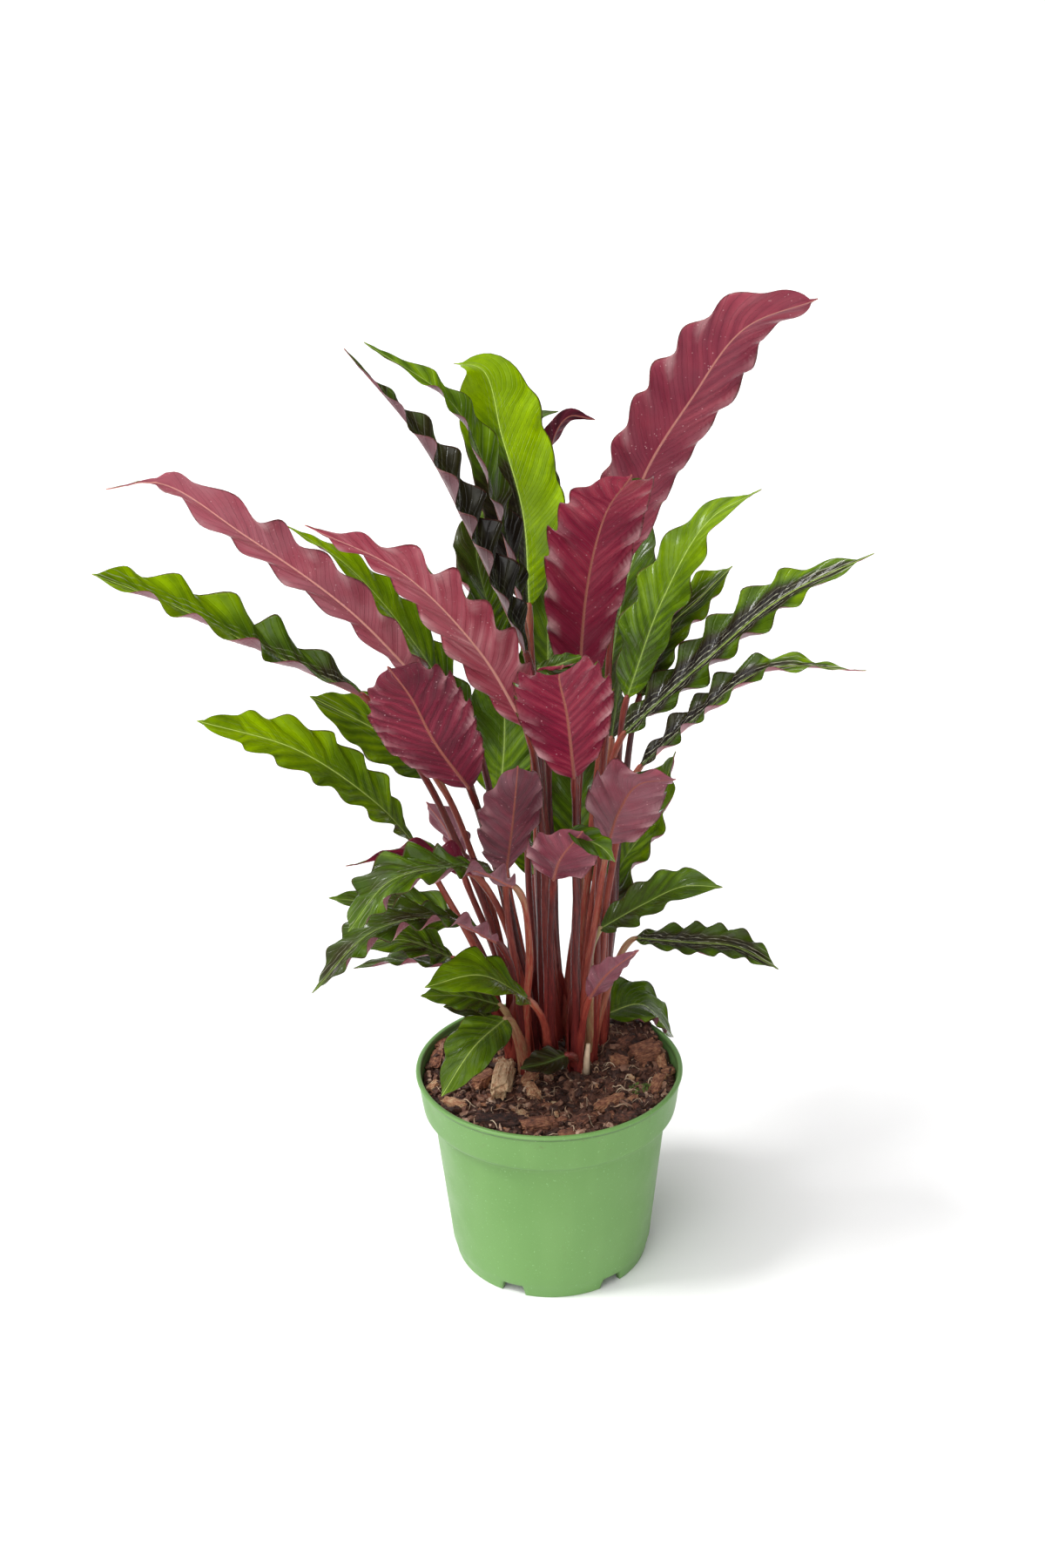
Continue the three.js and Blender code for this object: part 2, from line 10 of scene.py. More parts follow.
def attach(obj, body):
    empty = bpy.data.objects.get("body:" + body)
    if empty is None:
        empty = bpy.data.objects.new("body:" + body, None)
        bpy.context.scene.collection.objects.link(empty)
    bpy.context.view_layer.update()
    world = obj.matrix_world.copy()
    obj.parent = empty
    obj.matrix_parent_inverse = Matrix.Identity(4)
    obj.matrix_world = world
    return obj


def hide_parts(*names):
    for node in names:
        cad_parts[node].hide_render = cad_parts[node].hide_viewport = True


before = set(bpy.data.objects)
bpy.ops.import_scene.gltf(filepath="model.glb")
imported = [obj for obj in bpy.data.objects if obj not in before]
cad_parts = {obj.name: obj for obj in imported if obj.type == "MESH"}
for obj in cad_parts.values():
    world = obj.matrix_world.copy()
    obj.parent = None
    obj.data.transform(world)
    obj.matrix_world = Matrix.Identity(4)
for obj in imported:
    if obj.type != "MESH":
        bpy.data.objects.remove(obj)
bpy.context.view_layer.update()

MM = 0.001

# Pot, as on the construction model
POT_HEIGHT = 109.6
RIM_RADIUS = 70
LIP_HEIGHT = 2.2
LIP_PROUD = 1.0
BAND_HEIGHT = 21
BAND_FOOT_RADIUS = 66.8
WALL_TOP_RADIUS = 61.4
WALL_FOOT_RADIUS = 53.5
FOOT_RADIUS = 51.3
FOOT_HEIGHT = 6.6
FOOT_RING_WIDTH = 2.4
PAN_RADIUS = 34
POT_WALL = 1.6
POT_FLOOR = 2
POT_SIDES = 216
NOTCH_COUNT = 6
NOTCH_WIDTH = 11.8
NOTCH_TURN = -24.2

# Soil
SOIL_TOP = 103
SOIL_GAP = 0.3
SOIL_ROUGHNESS = 1.6
CLOD_HEIGHT = 1.5
SOIL_SIDES = 240
SOIL_RINGS = 62
MOUND_HEIGHT = 10
MOUND_X = 46
MOUND_Y = 38
MOUND_SPREAD = 380
CRUMB_COUNT = 5200
BARK_COUNT = 300
FIBRE_COUNT = 300
FIBRE_STEPS = 14
MOSS_COUNT = 130
MOSS_X = 47
MOSS_Y = -17

# Shoots and stalks
SHEATH_SHOULDER = 113
SHEATH_RADIUS = 5.0
SHEATH_LEAST_HEIGHT = 26
SHEATH_ROWS = 16
SHEATH_COLUMNS = 11
STALK_FOOT_DEPTH = 9
STALK_FOOT_RADIUS = 3.3
STALK_FLATTEN = 0.86
STALK_SIDES = 14
STALK_RINGS = 44

# Blades
BASE_TAPER = 0.6
WAVE_HEIGHT = 0.14
WAVE_SHIFT = 0.5
WAVE_EDGE = 1.7
BLADE_THICKNESS = 0.42
LEAST_HALF_WIDTH = 1.6
RIDGE_HEIGHT = 1.0
RIDGE_WIDTH = 0.95
GROOVE_DEPTH = 0.12
GROOVE_WIDTH = 0.7
VEIN_LEAN = 1.3
VEIN_SPACING = 3.4
PLEAT_SPACING = 8
PLEAT_HEIGHT = 0.3
GREEN_LEAST_BLOOM = 0.7
ROWS_PER_STATION = 6
SHARES = [0, 0.03, 0.07, 0.13, 0.22, 0.33, 0.45, 0.57, 0.68, 0.78, 0.87, 0.94, 1]
COLUMNS = [-v for v in reversed(SHARES[1:])] + SHARES

# Starts of the random draws
LEAF_SEED = 100
CURL_SEED = 200
STALK_SEED = 900
SHEATH_SEED = 40

# Camera, where the photograph was taken from
CAMERA_PLACE = (-11, -795, 586)
CAMERA_PITCH = 21.8
CAMERA_ROLL = -1.15
CAMERA_LENS = 40

# A broad key and a small accent from the upper left, and a weak fill from the front: the direction that
# each comes from, its angular size in degrees and its strength
LIGHTS = {
    "key": ((-0.42, -0.25, 0.95), 68, 2.2),
    "accent": ((-0.6, -0.16, 0.8), 13, 1.5),
    "fill": ((-0.2, -0.9, 0.45), 60, 0.8),
}

# White surroundings, whose strength goes from low to high between two heights of the direction seen. On
# the right, between two shares of that direction, the high strength sinks to a part of itself
WORLD_FADE = (0.12, 0.35)
WORLD_LOW = 1.3
WORLD_HIGH = 0.52
WORLD_RIGHT = (0.25, 0.6, 0.05)

FLOOR_REACH = 12000

# Each shoot's place on the soil
SHOOTS = {
    "a": (-12, 4), "b": (1, 4), "c": (14, 4),
    "d": (-18.5, 15.3), "e": (-5.5, 15.3), "g": (21.5, 16),
    "h": (-12, 26.6), "i": (1, 26.6), "j": (14, 26.6), "k": (27, 26.6),
    "l": (-5.5, 37.9), "m": (7.5, 37.9),
}

# Each leaf: its shoot, the side that the front shows, its full width, its roll and how much it twists by
# the tip in degrees, and the length of its waves. Then in per cent: how slender its end is, the part of
# its length that is a thin tip, how deep it is folded, how strongly its waves rise, how light its upper
# face is at the tip and at the base, a lightness that is partly painted light and shade, the darker base
# being painted shade inside the plant, how much painted shadow darkens its left half towards the base, or
# its right half where the number is negative, how light its lower face is, and how strong the painted
# reflection in pale lines beside its midrib and the grey bloom on its lower face are. Last, its midrib's
# route from the collar to the tip
Leaf = namedtuple("Leaf", (
    "shoot shows width roll twist wave taper tail keel ruffle upper base dark under strip path"
))


def read_leaf(row):
    """A leaf from its row of the table, with the per cent as parts of one."""
    return Leaf(*row[:6], *(number / 100 for number in row[6:15]), row[15])


LEAVES = [read_leaf(row) for row in [
    # Low leaves at the front left
    ("a", "green", 29, -24, 46, 15, 60, 5, 22, 85, 40, 35, 0, 45, 35,
     [(-25, -28, 196), (-50, -42, 216), (-83, -54, 216), (-113, -62, 188)]),
    ("a", "green", 28, 15, 0, 20, 80, 3, 18, 45, 60, 46, 0, 50, 10,
     [(-22, -23, 150), (-38, -41, 144), (-54, -53, 124)]),
    ("a", "green", 31, -35, 69, 15, 55, 3, 22, 95, 42, 30, 0, 36, 30,
     [(-16, -39, 231), (-38, -52, 247), (-72, -66, 248), (-93, -72, 225)]),
    ("a", "maroon", 33, -10, 0, 17, 60, 3, 20, 50, 40, 40, 0, 40, 50,
     [(-20, -21, 231), (-16, -38, 266), (-13, -60, 301)]),
    ("a", "green", 19, 35, 0, 16, 80, 3, 22, 60, 35, 35, 0, 50, 0,
     [(-25, -9, 150), (-43, -17, 160), (-64, -25, 165)]),
    # Front centre
    ("b", "maroon", 37, -28, 0, 22, 70, 2, 18, 70, 60, 60, 0, 78, 10,
     [(-9, -36, 311), (-29, -56, 355), (-61, -76, 397), (-98, -92, 421)]),
    ("b", "maroon", 34, 20, 0, 18, 70, 3, 20, 60, 45, 45, 0, 45, 35,
     [(3, -36, 233), (6, -62, 256), (15, -92, 282)]),
    ("b", "green", 32, 25, 0, 20, 80, 3, 20, 45, 68, 50, 0, 50, 10,
     [(-10, -36, 168), (-34, -55, 192), (-59, -68, 193)]),
    ("c", "maroon", 40, 0, 0, 24, 40, 3, 20, 50, 50, 50, 0, 57, 0,
     [(16, -10, 310), (19, -46, 378), (25, -86, 421), (33, -135, 448)]),
    ("c", "maroon", 44, -12, 0, 16, 60, 3, 18, 45, 50, 50, 0, 54, 0,
     [(13, -46, 289), (9, -76, 331), (5, -108, 359), (6, -130, 371)]),
    ("c", "maroon", 36, 38, 0, 16, 70, 3, 20, 70, 40, 40, 0, 56, 70,
     [(30, -26, 247), (34, -44, 271), (42, -62, 292), (57, -78, 300)]),
    ("c", "maroon", 15, 40, 0, 14, 80, 3, 30, 50, 40, 40, 0, 50, 60,
     [(21, -12, 155), (30, -26, 177), (44, -38, 195)]),
    ("c", "green", 18, 20, 0, 16, 80, 3, 20, 50, 22, 22, 0, 50, 0,
     [(9, -11, 121), (-3, -19, 121), (-15, -25, 122)]),
    # Left side
    ("d", "green", 31, 38, 0, 20, 65, 2, 25, 70, 82, 58, 0, 50, 10,
     [(-65, -12, 243), (-82, -22, 269), (-116, -34, 301), (-158, -50, 322)]),
    ("d", "green", 26, 18, 0, 16, 90, 3, 22, 70, 40, 35, 0, 50, 30,
     [(-48, -10, 178), (-73, -16, 192), (-101, -24, 192)]),
    ("d", "green", 28, 22, 0, 18, 90, 3, 22, 70, 40, 35, 0, 50, 20,
     [(-44, 13, 186), (-75, 12, 197), (-111, 9, 204)]),
    ("d", "green", 24, -10, 0, 16, 90, 3, 22, 70, 36, 36, 0, 50, 20,
     [(-47, 6, 165), (-73, 6, 169), (-100, 4, 166)]),
    ("d", "green", 20, 30, 0, 15, 80, 3, 22, 60, 35, 35, 0, 50, 0,
     [(-27, 18, 122), (-41, 17, 134), (-55, 14, 137)]),
    ("e", "maroon", 31, -40, 0, 26, 40, 12, 20, 60, 60, 60, 0, 76, 40,
     [(-55, -18, 325), (-88, -32, 368), (-130, -50, 408), (-162, -60, 433), (-184, -66, 432)]),
    ("e", "maroon", 44, -30, 0, 14, 60, 3, 18, 35, 50, 50, 0, 44, 10,
     [(-36, -36, 281), (-50, -64, 315), (-58, -92, 346), (-65, -118, 368)]),
    ("e", "maroon", 26, -40, 0, 17, 100, 12, 25, 80, 45, 45, 0, 40, 0,
     [(-35, -18, 227), (-62, -28, 244), (-96, -38, 243)]),
    ("h", "green", 32, 8, 14, 26, 60, 2, 50, 100, 82, 50, -10, 50, 50,
     [(-87, -6, 318), (-132, -14, 344), (-169, -22, 368), (-202, -34, 387)]),
    ("h", "green", 36, 18, 0, 22, 90, 3, 22, 60, 85, 42, 0, 40, 10,
     [(-34, 8, 288), (-60, 6, 337), (-91, 2, 379), (-117, -4, 400)]),
    ("h", "green", 36, 40, 0, 18, 80, 3, 22, 60, 62, 42, 0, 50, 30,
     [(-56, 17, 268), (-79, 14, 290), (-114, 11, 312)]),
    ("h", "maroon", 26, -70, 0, 18, 70, 3, 22, 50, 40, 40, 0, 42, 60,
     [(-43, 28, 209), (-50, 34, 229), (-61, 38, 244)]),
    # Tall leaves at the left back
    ("i", "green", 25, 4, -10, 21, 80, 10, 60, 115, 14, 2, 0, 35, 10,
     [(-8, 20, 329), (-32, 28, 384), (-55, 36, 429), (-91, 45, 473)]),
    ("i", "green", 23, -45, 72, 22, 85, 3, 40, 80, 58, 0, 0, 35, 0,
     [(-9, 40, 340), (-20, 52, 391), (-40, 64, 441), (-84, 74, 472)]),
    # Right side
    ("g", "maroon", 42, 40, 0, 20, 50, 2, 20, 50, 50, 50, 0, 62, 20,
     [(36, -8, 379), (46, -16, 422), (66, -28, 459), (87, -40, 490), (116, -48, 502)]),
    ("g", "green", 22, -20, 16, 18, 80, 8, 35, 95, 58, 30, 15, 80, 80,
     [(47, 0, 276), (75, -8, 305), (105, -14, 329), (150, -24, 331)]),
    ("g", "green", 27, -28, 0, 16, 75, 3, 22, 50, 50, 42, 0, 50, 0,
     [(27, -8, 192), (48, -16, 209), (67, -24, 222), (85, -30, 224)]),
    ("g", "green", 24, -14, 0, 13, 65, 3, 25, 65, 42, 42, 0, 50, 60,
     [(46, 14, 175), (72, 6, 176), (96, -2, 177), (117, -10, 168)]),
    ("j", "green", 18, 10, 0, 18, 80, 3, 22, 70, 30, 30, 0, 40, 10,
     [(35, 38, 277), (38, 41, 297), (42, 44, 324)]),
    ("j", "green", 38, 0, 0, 22, 80, 3, 22, 70, 40, 40, 0, 50, 0,
     [(33, 60, 291), (44, 86, 340), (59, 112, 380)]),
    ("j", "maroon", 16, 70, 0, 22, 70, 3, 30, 50, 20, 20, 0, 25, 0,
     [(18, 84, 355), (9, 112, 390), (8, 124, 412), (17, 126, 425), (31, 126, 423)]),
    ("k", "green", 35, -12, 0, 23, 85, 3, 22, 60, 66, 46, 0, 50, 12,
     [(42, 26, 303), (60, 36, 350), (83, 45, 387), (109, 50, 401)]),
    ("k", "green", 30, -16, 0, 18, 60, 3, 30, 70, 70, 42, 10, 50, 60,
     [(49, 36, 300), (63, 46, 331), (79, 54, 344), (97, 60, 360)]),
    ("k", "green", 30, -26, 0, 21, 70, 5, 30, 100, 62, 40, 12, 50, 85,
     [(40, 15, 288), (75, 12, 322), (115, 8, 358), (156, 2, 380)]),
    ("k", "green", 38, 2, 0, 21, 55, 3, 22, 70, 62, 20, 0, 50, 10,
     [(31, 40, 168), (40, 48, 200), (56, 56, 222), (70, 62, 260)]),
    ("k", "green", 38, -12, 0, 12, 70, 3, 20, 35, 55, 55, 0, 50, 10,
     [(31, 36, 118), (52, 46, 118), (70, 50, 95)]),
    # Back
    ("l", "green", 40, 0, 0, 22, 80, 3, 22, 60, 52, 50, 0, 50, 10,
     [(-23, 44, 243), (-20, 56, 270), (-20, 66, 300), (-22, 72, 323)]),
    ("l", "green", 36, -20, 0, 22, 80, 3, 22, 70, 35, 35, 0, 50, 0,
     [(-17, 84, 300), (-28, 104, 332), (-33, 121, 360), (-22, 134, 380)]),
    ("l", "green", 36, 0, 0, 22, 80, 3, 22, 70, 40, 40, 0, 50, 0,
     [(-6, 62, 189), (-16, 98, 229), (-24, 134, 250)]),
    ("m", "green", 47, 8, 0, 30, 45, 3, 20, 20, 92, 72, 80, 50, 15,
     [(-6, 52, 344), (-8, 76, 385), (-18, 96, 421), (-27, 110, 452), (-42, 116, 455)]),
    ("m", "green", 14, -40, 0, 20, 60, 3, 22, 60, 30, 30, 0, 40, 0,
     [(-7, 88, 355), (-9, 122, 396), (0, 134, 423), (12, 136, 426)]),
    ("m", "green", 34, 0, 0, 22, 80, 3, 22, 70, 45, 45, 0, 50, 0,
     [(3, 70, 256), (4, 101, 298), (5, 136, 340)]),
    ("m", "green", 40, 0, 0, 22, 80, 3, 22, 70, 45, 45, 0, 50, 0,
     [(20, 62, 194), (18, 92, 232), (16, 136, 262)]),
]]

# Lobes that curl over at the end of a maroon leaf and show its upper face: the number of that blade in
# its shoot, and the lobe's own form as in the table above
CURLS = [
    (2, ("b", "maroon", 13, -50, 0, 12, 70, 5, 20, 60, 50, 35, 0, 50, 0,
          [(9, -85, 279), (15, -83, 275), (24, -81, 269), (30, -79, 261)])),
    (2, ("c", "maroon", 8, -55, 0, 8, 70, 5, 20, 60, 40, 35, 0, 50, 0,
          [(-4, -119, 366), (2, -120, 367), (8, -119, 369), (14, -116, 370)])),
]

# Bark lying on the soil where the photograph shows it: place, length, width, height, turn in
# degrees, and how light it is from 0 to 1
BARK = [
    ((-24, -7, 106), 38, 10, 7, 84, 0.95),
    ((-10, -8, 105), 12, 7, 5, 70, 0.7),
    ((-9, -19, 105), 13, 6, 5, 110, 0.78),
    ((52, 15, 107), 17, 12, 8, 20, 0.5),
    ((42, 22, 108), 12, 8, 6, 50, 0.35),
    ((38, 8, 106), 9, 6, 5, -30, 0.6),
    ((30, -32, 105), 16, 7, 5, 35, 0.62),
    ((-60, -12, 104), 9, 5, 5, 60, 0.85),
    ((-49, -29, 104), 14, 6, 5, -40, 0.8),
    ((-34, -6, 105), 18, 8, 6, 60, 0.6),
    ((-28, -46, 104), 28, 8, 6, -12, 0.14),
    ((-6, -50, 104), 18, 9, 7, 15, 0.5),
    ((17, -47, 104), 12, 8, 5, 50, 0.36),
    ((37, -46, 104), 11, 7, 5, 20, 0.3),
    ((56, -14, 104), 16, 6, 5, 70, 0.6),
    ((60, 8, 104), 12, 5, 4, 95, 0.7),
    ((-60, 15, 104), 15, 6, 5, 85, 0.5),
    ((-56, 32, 104), 15, 6, 5, 60, 0.55),
    ((43, 36, 107), 12, 8, 5, 0, 0.45),
]


# Shared helpers

def random_source(seed):
    """A small repeatable random source, as on the construction model."""
    state = seed

    def draw():
        nonlocal state
        state = (state * 1664525 + 1013904223) % 4294967296
        return state / 4294967296

    return draw


def smooth_step(low, high, x):
    t = np.clip((x - low) / (high - low), 0, 1)
    return t * t * (3 - 2 * t)


def unit(vectors):
    return vectors / np.linalg.norm(vectors, axis=-1, keepdims=True)


def add_object(name, data):
    made = bpy.data.objects.new(name, data)
    bpy.context.scene.collection.objects.link(made)
    return made


class Shape:
    """Points, faces, material numbers and per-point values that grow part by part into one mesh."""

    def __init__(self, *value_names):
        self.points = []
        self.faces = []
        self.surfaces = []
        self.values = {name: [] for name in value_names}

    def add(self, points, faces, surfaces=None, **values):
        start = len(self.points)
        self.points.extend(tuple(p) for p in points)
        self.faces.extend(tuple(start + i for i in face) for face in faces)
        self.surfaces.extend(surfaces or [0] * len(faces))
        for name, held in self.values.items():
            held.extend(np.broadcast_to(values.get(name, 0.0), len(points)).tolist())

    def piece(self, name, materials, node, smooth=True):
        mesh = bpy.data.meshes.new(name)
        mesh.from_pydata([(x * MM, y * MM, z * MM) for x, y, z in self.points], [], self.faces)
        mesh.polygons.foreach_set("use_smooth", [smooth] * len(self.faces))
        mesh.polygons.foreach_set("material_index", self.surfaces)
        for material in materials:
            mesh.materials.append(material)
        for key, held in self.values.items():
            mesh.attributes.new(key, "FLOAT", "POINT").data.foreach_set("value", held)
        mesh.update()
        made = add_object(name, mesh)
        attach(made, "root")
        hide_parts(node)


def grid_faces(rows, columns, closed=False, start=0):
    """Quads between rows of equal point counts, each row closed to a ring if asked."""
    faces = []
    for r in range(rows - 1):
        for c in range(columns if closed else columns - 1):
            d = (c + 1) % columns
            a = start + r * columns
            b = a + columns
            faces.append((a + c, a + d, b + d, b + c))
    return faces


def circle(radius, sides):
    """Points round the axis, with the angle of each."""
    angles = [i / sides * math.tau for i in range(sides)]
    return [(radius * math.cos(angle), radius * math.sin(angle), angle) for angle in angles]


def fan_faces(start, sides, centre):
    """Triangles from a ring's points to the point at its centre."""
    return [(start + i, start + (i + 1) % sides, centre) for i in range(sides)]


def tube(centres, radii, sides, flatten=1.0):
    """Rings along a route, with closed ends, and the angle of each point. flatten narrows them in depth."""
    centres = np.asarray(centres, float)
    along = unit(np.gradient(centres, axis=0))
    reference = np.array([1.0, 0, 0]) if abs(along[0][0]) < 0.8 else np.array([0, 0, 1.0])
    across = unit(reference - along * (along @ reference)[:, None])
    other = np.cross(along, across) * flatten
    angles = np.arange(sides) / sides * math.tau
    ring = (across[:, None, :] * np.cos(angles)[None, :, None]
            + other[:, None, :] * np.sin(angles)[None, :, None])
    points = (centres[:, None, :] + ring * np.asarray(radii)[:, None, None]).reshape(-1, 3)
    rows = len(centres)
    faces = grid_faces(rows, sides, closed=True)
    faces.append(tuple(reversed(range(sides))))
    faces.append(tuple(range((rows - 1) * sides, rows * sides)))
    return points, faces, np.tile(angles, rows)


# Shader helpers

class ShaderTree:
    """The shader nodes of a material or world. Each input is a value or a node's output."""

    def __init__(self, owner):
        owner.use_nodes = True
        self.owner = owner
        self.nodes = owner.node_tree.nodes
        self.links = owner.node_tree.links

    def fill(self, node, inputs):
        for key, value in inputs.items():
            if isinstance(value, bpy.types.NodeSocket):
                self.links.new(value, node.inputs[key])
            else:
                node.inputs[key].default_value = value

    def add(self, kind, inputs, **settings):
        """A new node's outputs."""
        made = self.nodes.new(kind)
        for key, value in settings.items():
            setattr(made, key, value)
        self.fill(made, inputs)
        return made.outputs

    def math(self, operation, a, b=0.0, clamp=False):
        return self.add("ShaderNodeMath", {0: a, 1: b}, operation=operation, use_clamp=clamp)[0]

    def times(self, a, b):
        return self.math("MULTIPLY", a, b)

    def plus(self, a, b):
        return self.math("ADD", a, b)

    def minus(self, a, b):
        return self.math("SUBTRACT", a, b)

    def value(self, name):
        return self.add("ShaderNodeAttribute", {}, attribute_name=name)["Fac"]

    def mix(self, factor, a, b, kind="MIX"):
        return self.add("ShaderNodeMix", {0: factor, 6: a, 7: b}, data_type="RGBA", blend_type=kind)[2]

    def tint(self, colour, by):
        return self.mix(1.0, colour, by, "MULTIPLY")

    def step(self, value, low, high, start=0.0, end=1.0):
        """A smooth step of value from low to high."""
        inputs = {0: value, 1: low, 2: high, 3: start, 4: end}
        return self.add("ShaderNodeMapRange", inputs, interpolation_type="SMOOTHSTEP")[0]

    def ramp(self, value, stops):
        """Colours by place along a ramp. stops is a list of (place, r, g, b)."""
        made = self.nodes.new("ShaderNodeValToRGB")
        self.fill(made, {0: value})
        elements = made.color_ramp.elements
        while len(elements) < len(stops):
            elements.new(0.5)
        for element, (place, *colour) in zip(elements, stops):
            element.position = place
            element.color = (*colour, 1)
        return made.outputs[0]

    def place(self):
        return self.add("ShaderNodeTexCoord", {})["Object"]

    def height(self):
        return self.add("ShaderNodeSeparateXYZ", {0: self.place()})[2]

    def joined(self, x, y, z=0.0):
        return self.add("ShaderNodeCombineXYZ", {0: x, 1: y, 2: z})[0]

    def noise(self, scale, detail=3.0, roughness=0.55, place=None):
        inputs = {"Vector": place or self.place(), "Scale": scale, "Detail": detail, "Roughness": roughness}
        return self.add("ShaderNodeTexNoise", inputs)[0]

    def cells(self, scale):
        """The distance to the nearest of many scattered points."""
        return self.add("ShaderNodeTexVoronoi", {"Vector": self.place(), "Scale": scale})["Distance"]

    def tone(self, varied, amount, drop):
        """The tone held on the piece, on the leaves partly painted light and shade, raised by amount times a
        varied value and lowered by drop, from 0 to 1.
        """
        raised = self.plus(self.value("tone"), self.times(varied, amount))
        return self.math("SUBTRACT", raised, drop, clamp=True)

    def surface(self, colour, roughness, gloss=0.5, relief=None, depth=0.0, strength=0.0):
        """Gives the material its surface, with a fine relief whose depth is in metres."""
        inputs = {"Base Color": colour, "Roughness": roughness, "Specular IOR Level": gloss}
        if relief:
            bump = {"Height": relief, "Distance": depth, "Strength": strength}
            inputs["Normal"] = self.add("ShaderNodeBump", bump)[0]
        self.fill(self.nodes["Principled BSDF"], inputs)
        return self.owner


def material_tree(name):
    return ShaderTree(bpy.data.materials.new(name))


# Leaf materials

def vein_lines(tree):
    """1 on the fine side veins and 0 between them."""
    wave = tree.math("PINGPONG", tree.value("vein"), 0.5)
    return tree.step(wave, 0.13, 0.0)


def painted_pleat_shading(tree):
    """Painted light and shade across the pleats: 0 in their shaded creases between the side veins and 1 on
    the lit parts between them, stronger in places.
    """
    pleats = tree.times(tree.value("vein"), VEIN_SPACING / PLEAT_SPACING)
    band = tree.times(tree.math("PINGPONG", pleats, 0.5), 2.0)
    return tree.times(band, tree.step(tree.noise(22, 2), 0.4, 0.65, 0.15, 1.0))


def painted_reflection_lines(tree, rib):
    """Thin lines of painted reflection that run beside the midrib and fade in and out along the blade."""
    along = tree.value("vein")
    wander = tree.times(tree.noise(0.5, 2, 0.5, tree.joined(along, 0.0)), 2.2)
    gap = tree.math("PINGPONG", tree.times(tree.plus(rib, wander), 0.5), 0.5)
    lines = tree.times(tree.step(gap, 0.13, 0.04), tree.step(rib, 6.5, 2.5))
    fading = tree.noise(0.8, 2, 0.5, tree.joined(along, tree.times(rib, 0.4)))
    return tree.times(lines, tree.step(fading, 0.38, 0.6, 0.1, 1.0))


def leaf_upper_material():
    """Glossy green with a pale midrib, painted reflection in pale lines beside it, painted light and shade
    across the pleats and a thin brown margin.
    """
    tree = material_tree("leaf_upper")
    strip = tree.value("strip")
    share = tree.value("share")
    # The tone varies with painted light and shade across the pleats
    varied = tree.plus(tree.noise(34, 4), tree.times(painted_pleat_shading(tree), 0.35))
    # Leaves with strong painted reflection lines beside the midrib are darker there too
    inner = tree.step(share, 0.75, 0.2)
    varied = tree.minus(varied, tree.times(tree.times(strip, strip), inner))
    tone = tree.tone(varied, 0.75, 0.43)
    base = tree.ramp(tone, [
        (0.0, 0.010, 0.007, 0.005),
        (0.2, 0.024, 0.022, 0.006),
        (0.45, 0.044, 0.085, 0.003),
        (0.65, 0.10, 0.175, 0.002),
        (1.0, 0.23, 0.36, 0.0),
    ])
    veins = vein_lines(tree)
    paler = tree.tint(base, (1.35, 1.28, 1.4, 1))
    colour = tree.mix(tree.times(veins, 0.45), base, paler)
    mottle = tree.step(tree.noise(420, 2), 0.35, 0.7, 0.0, 0.3)
    darker = tree.tint(colour, (0.6, 0.66, 0.6, 1))
    colour = tree.mix(mottle, colour, darker)
    rib = tree.value("rib")
    # Painted reflection: pale grey lines beside the midrib, as strong as the leaf holds it
    colour = tree.mix(tree.times(painted_reflection_lines(tree, rib), strip), colour, (0.42, 0.42, 0.30, 1))
    halo = tree.step(rib, 2.0, 0.2, 0.0, 0.14)
    colour = tree.mix(halo, colour, (0.16, 0.27, 0.03, 1))
    line = tree.step(tree.value("spine"), 0.6, 0.3)
    rib_tone = tree.step(tree.value("tone"), 0.15, 0.9)
    rib_colour = tree.mix(rib_tone, (0.06, 0.095, 0.025, 1), (0.46, 0.60, 0.12, 1))
    colour = tree.mix(line, colour, rib_colour)
    edge = tree.step(share, 0.955, 0.995)
    colour = tree.mix(tree.times(edge, 0.75), colour, (0.075, 0.028, 0.02, 1))
    shine = tree.step(tree.noise(60, 3), 0.3, 0.75, 0.12, 0.26)
    gloss = tree.step(tree.value("tone"), 0.3, 0.9, 0.2, 0.05)
    relief = tree.minus(tree.times(tree.noise(700, 2), 0.25), veins)
    return tree.surface(colour, shine, gloss, relief, 0.00022, 0.8)


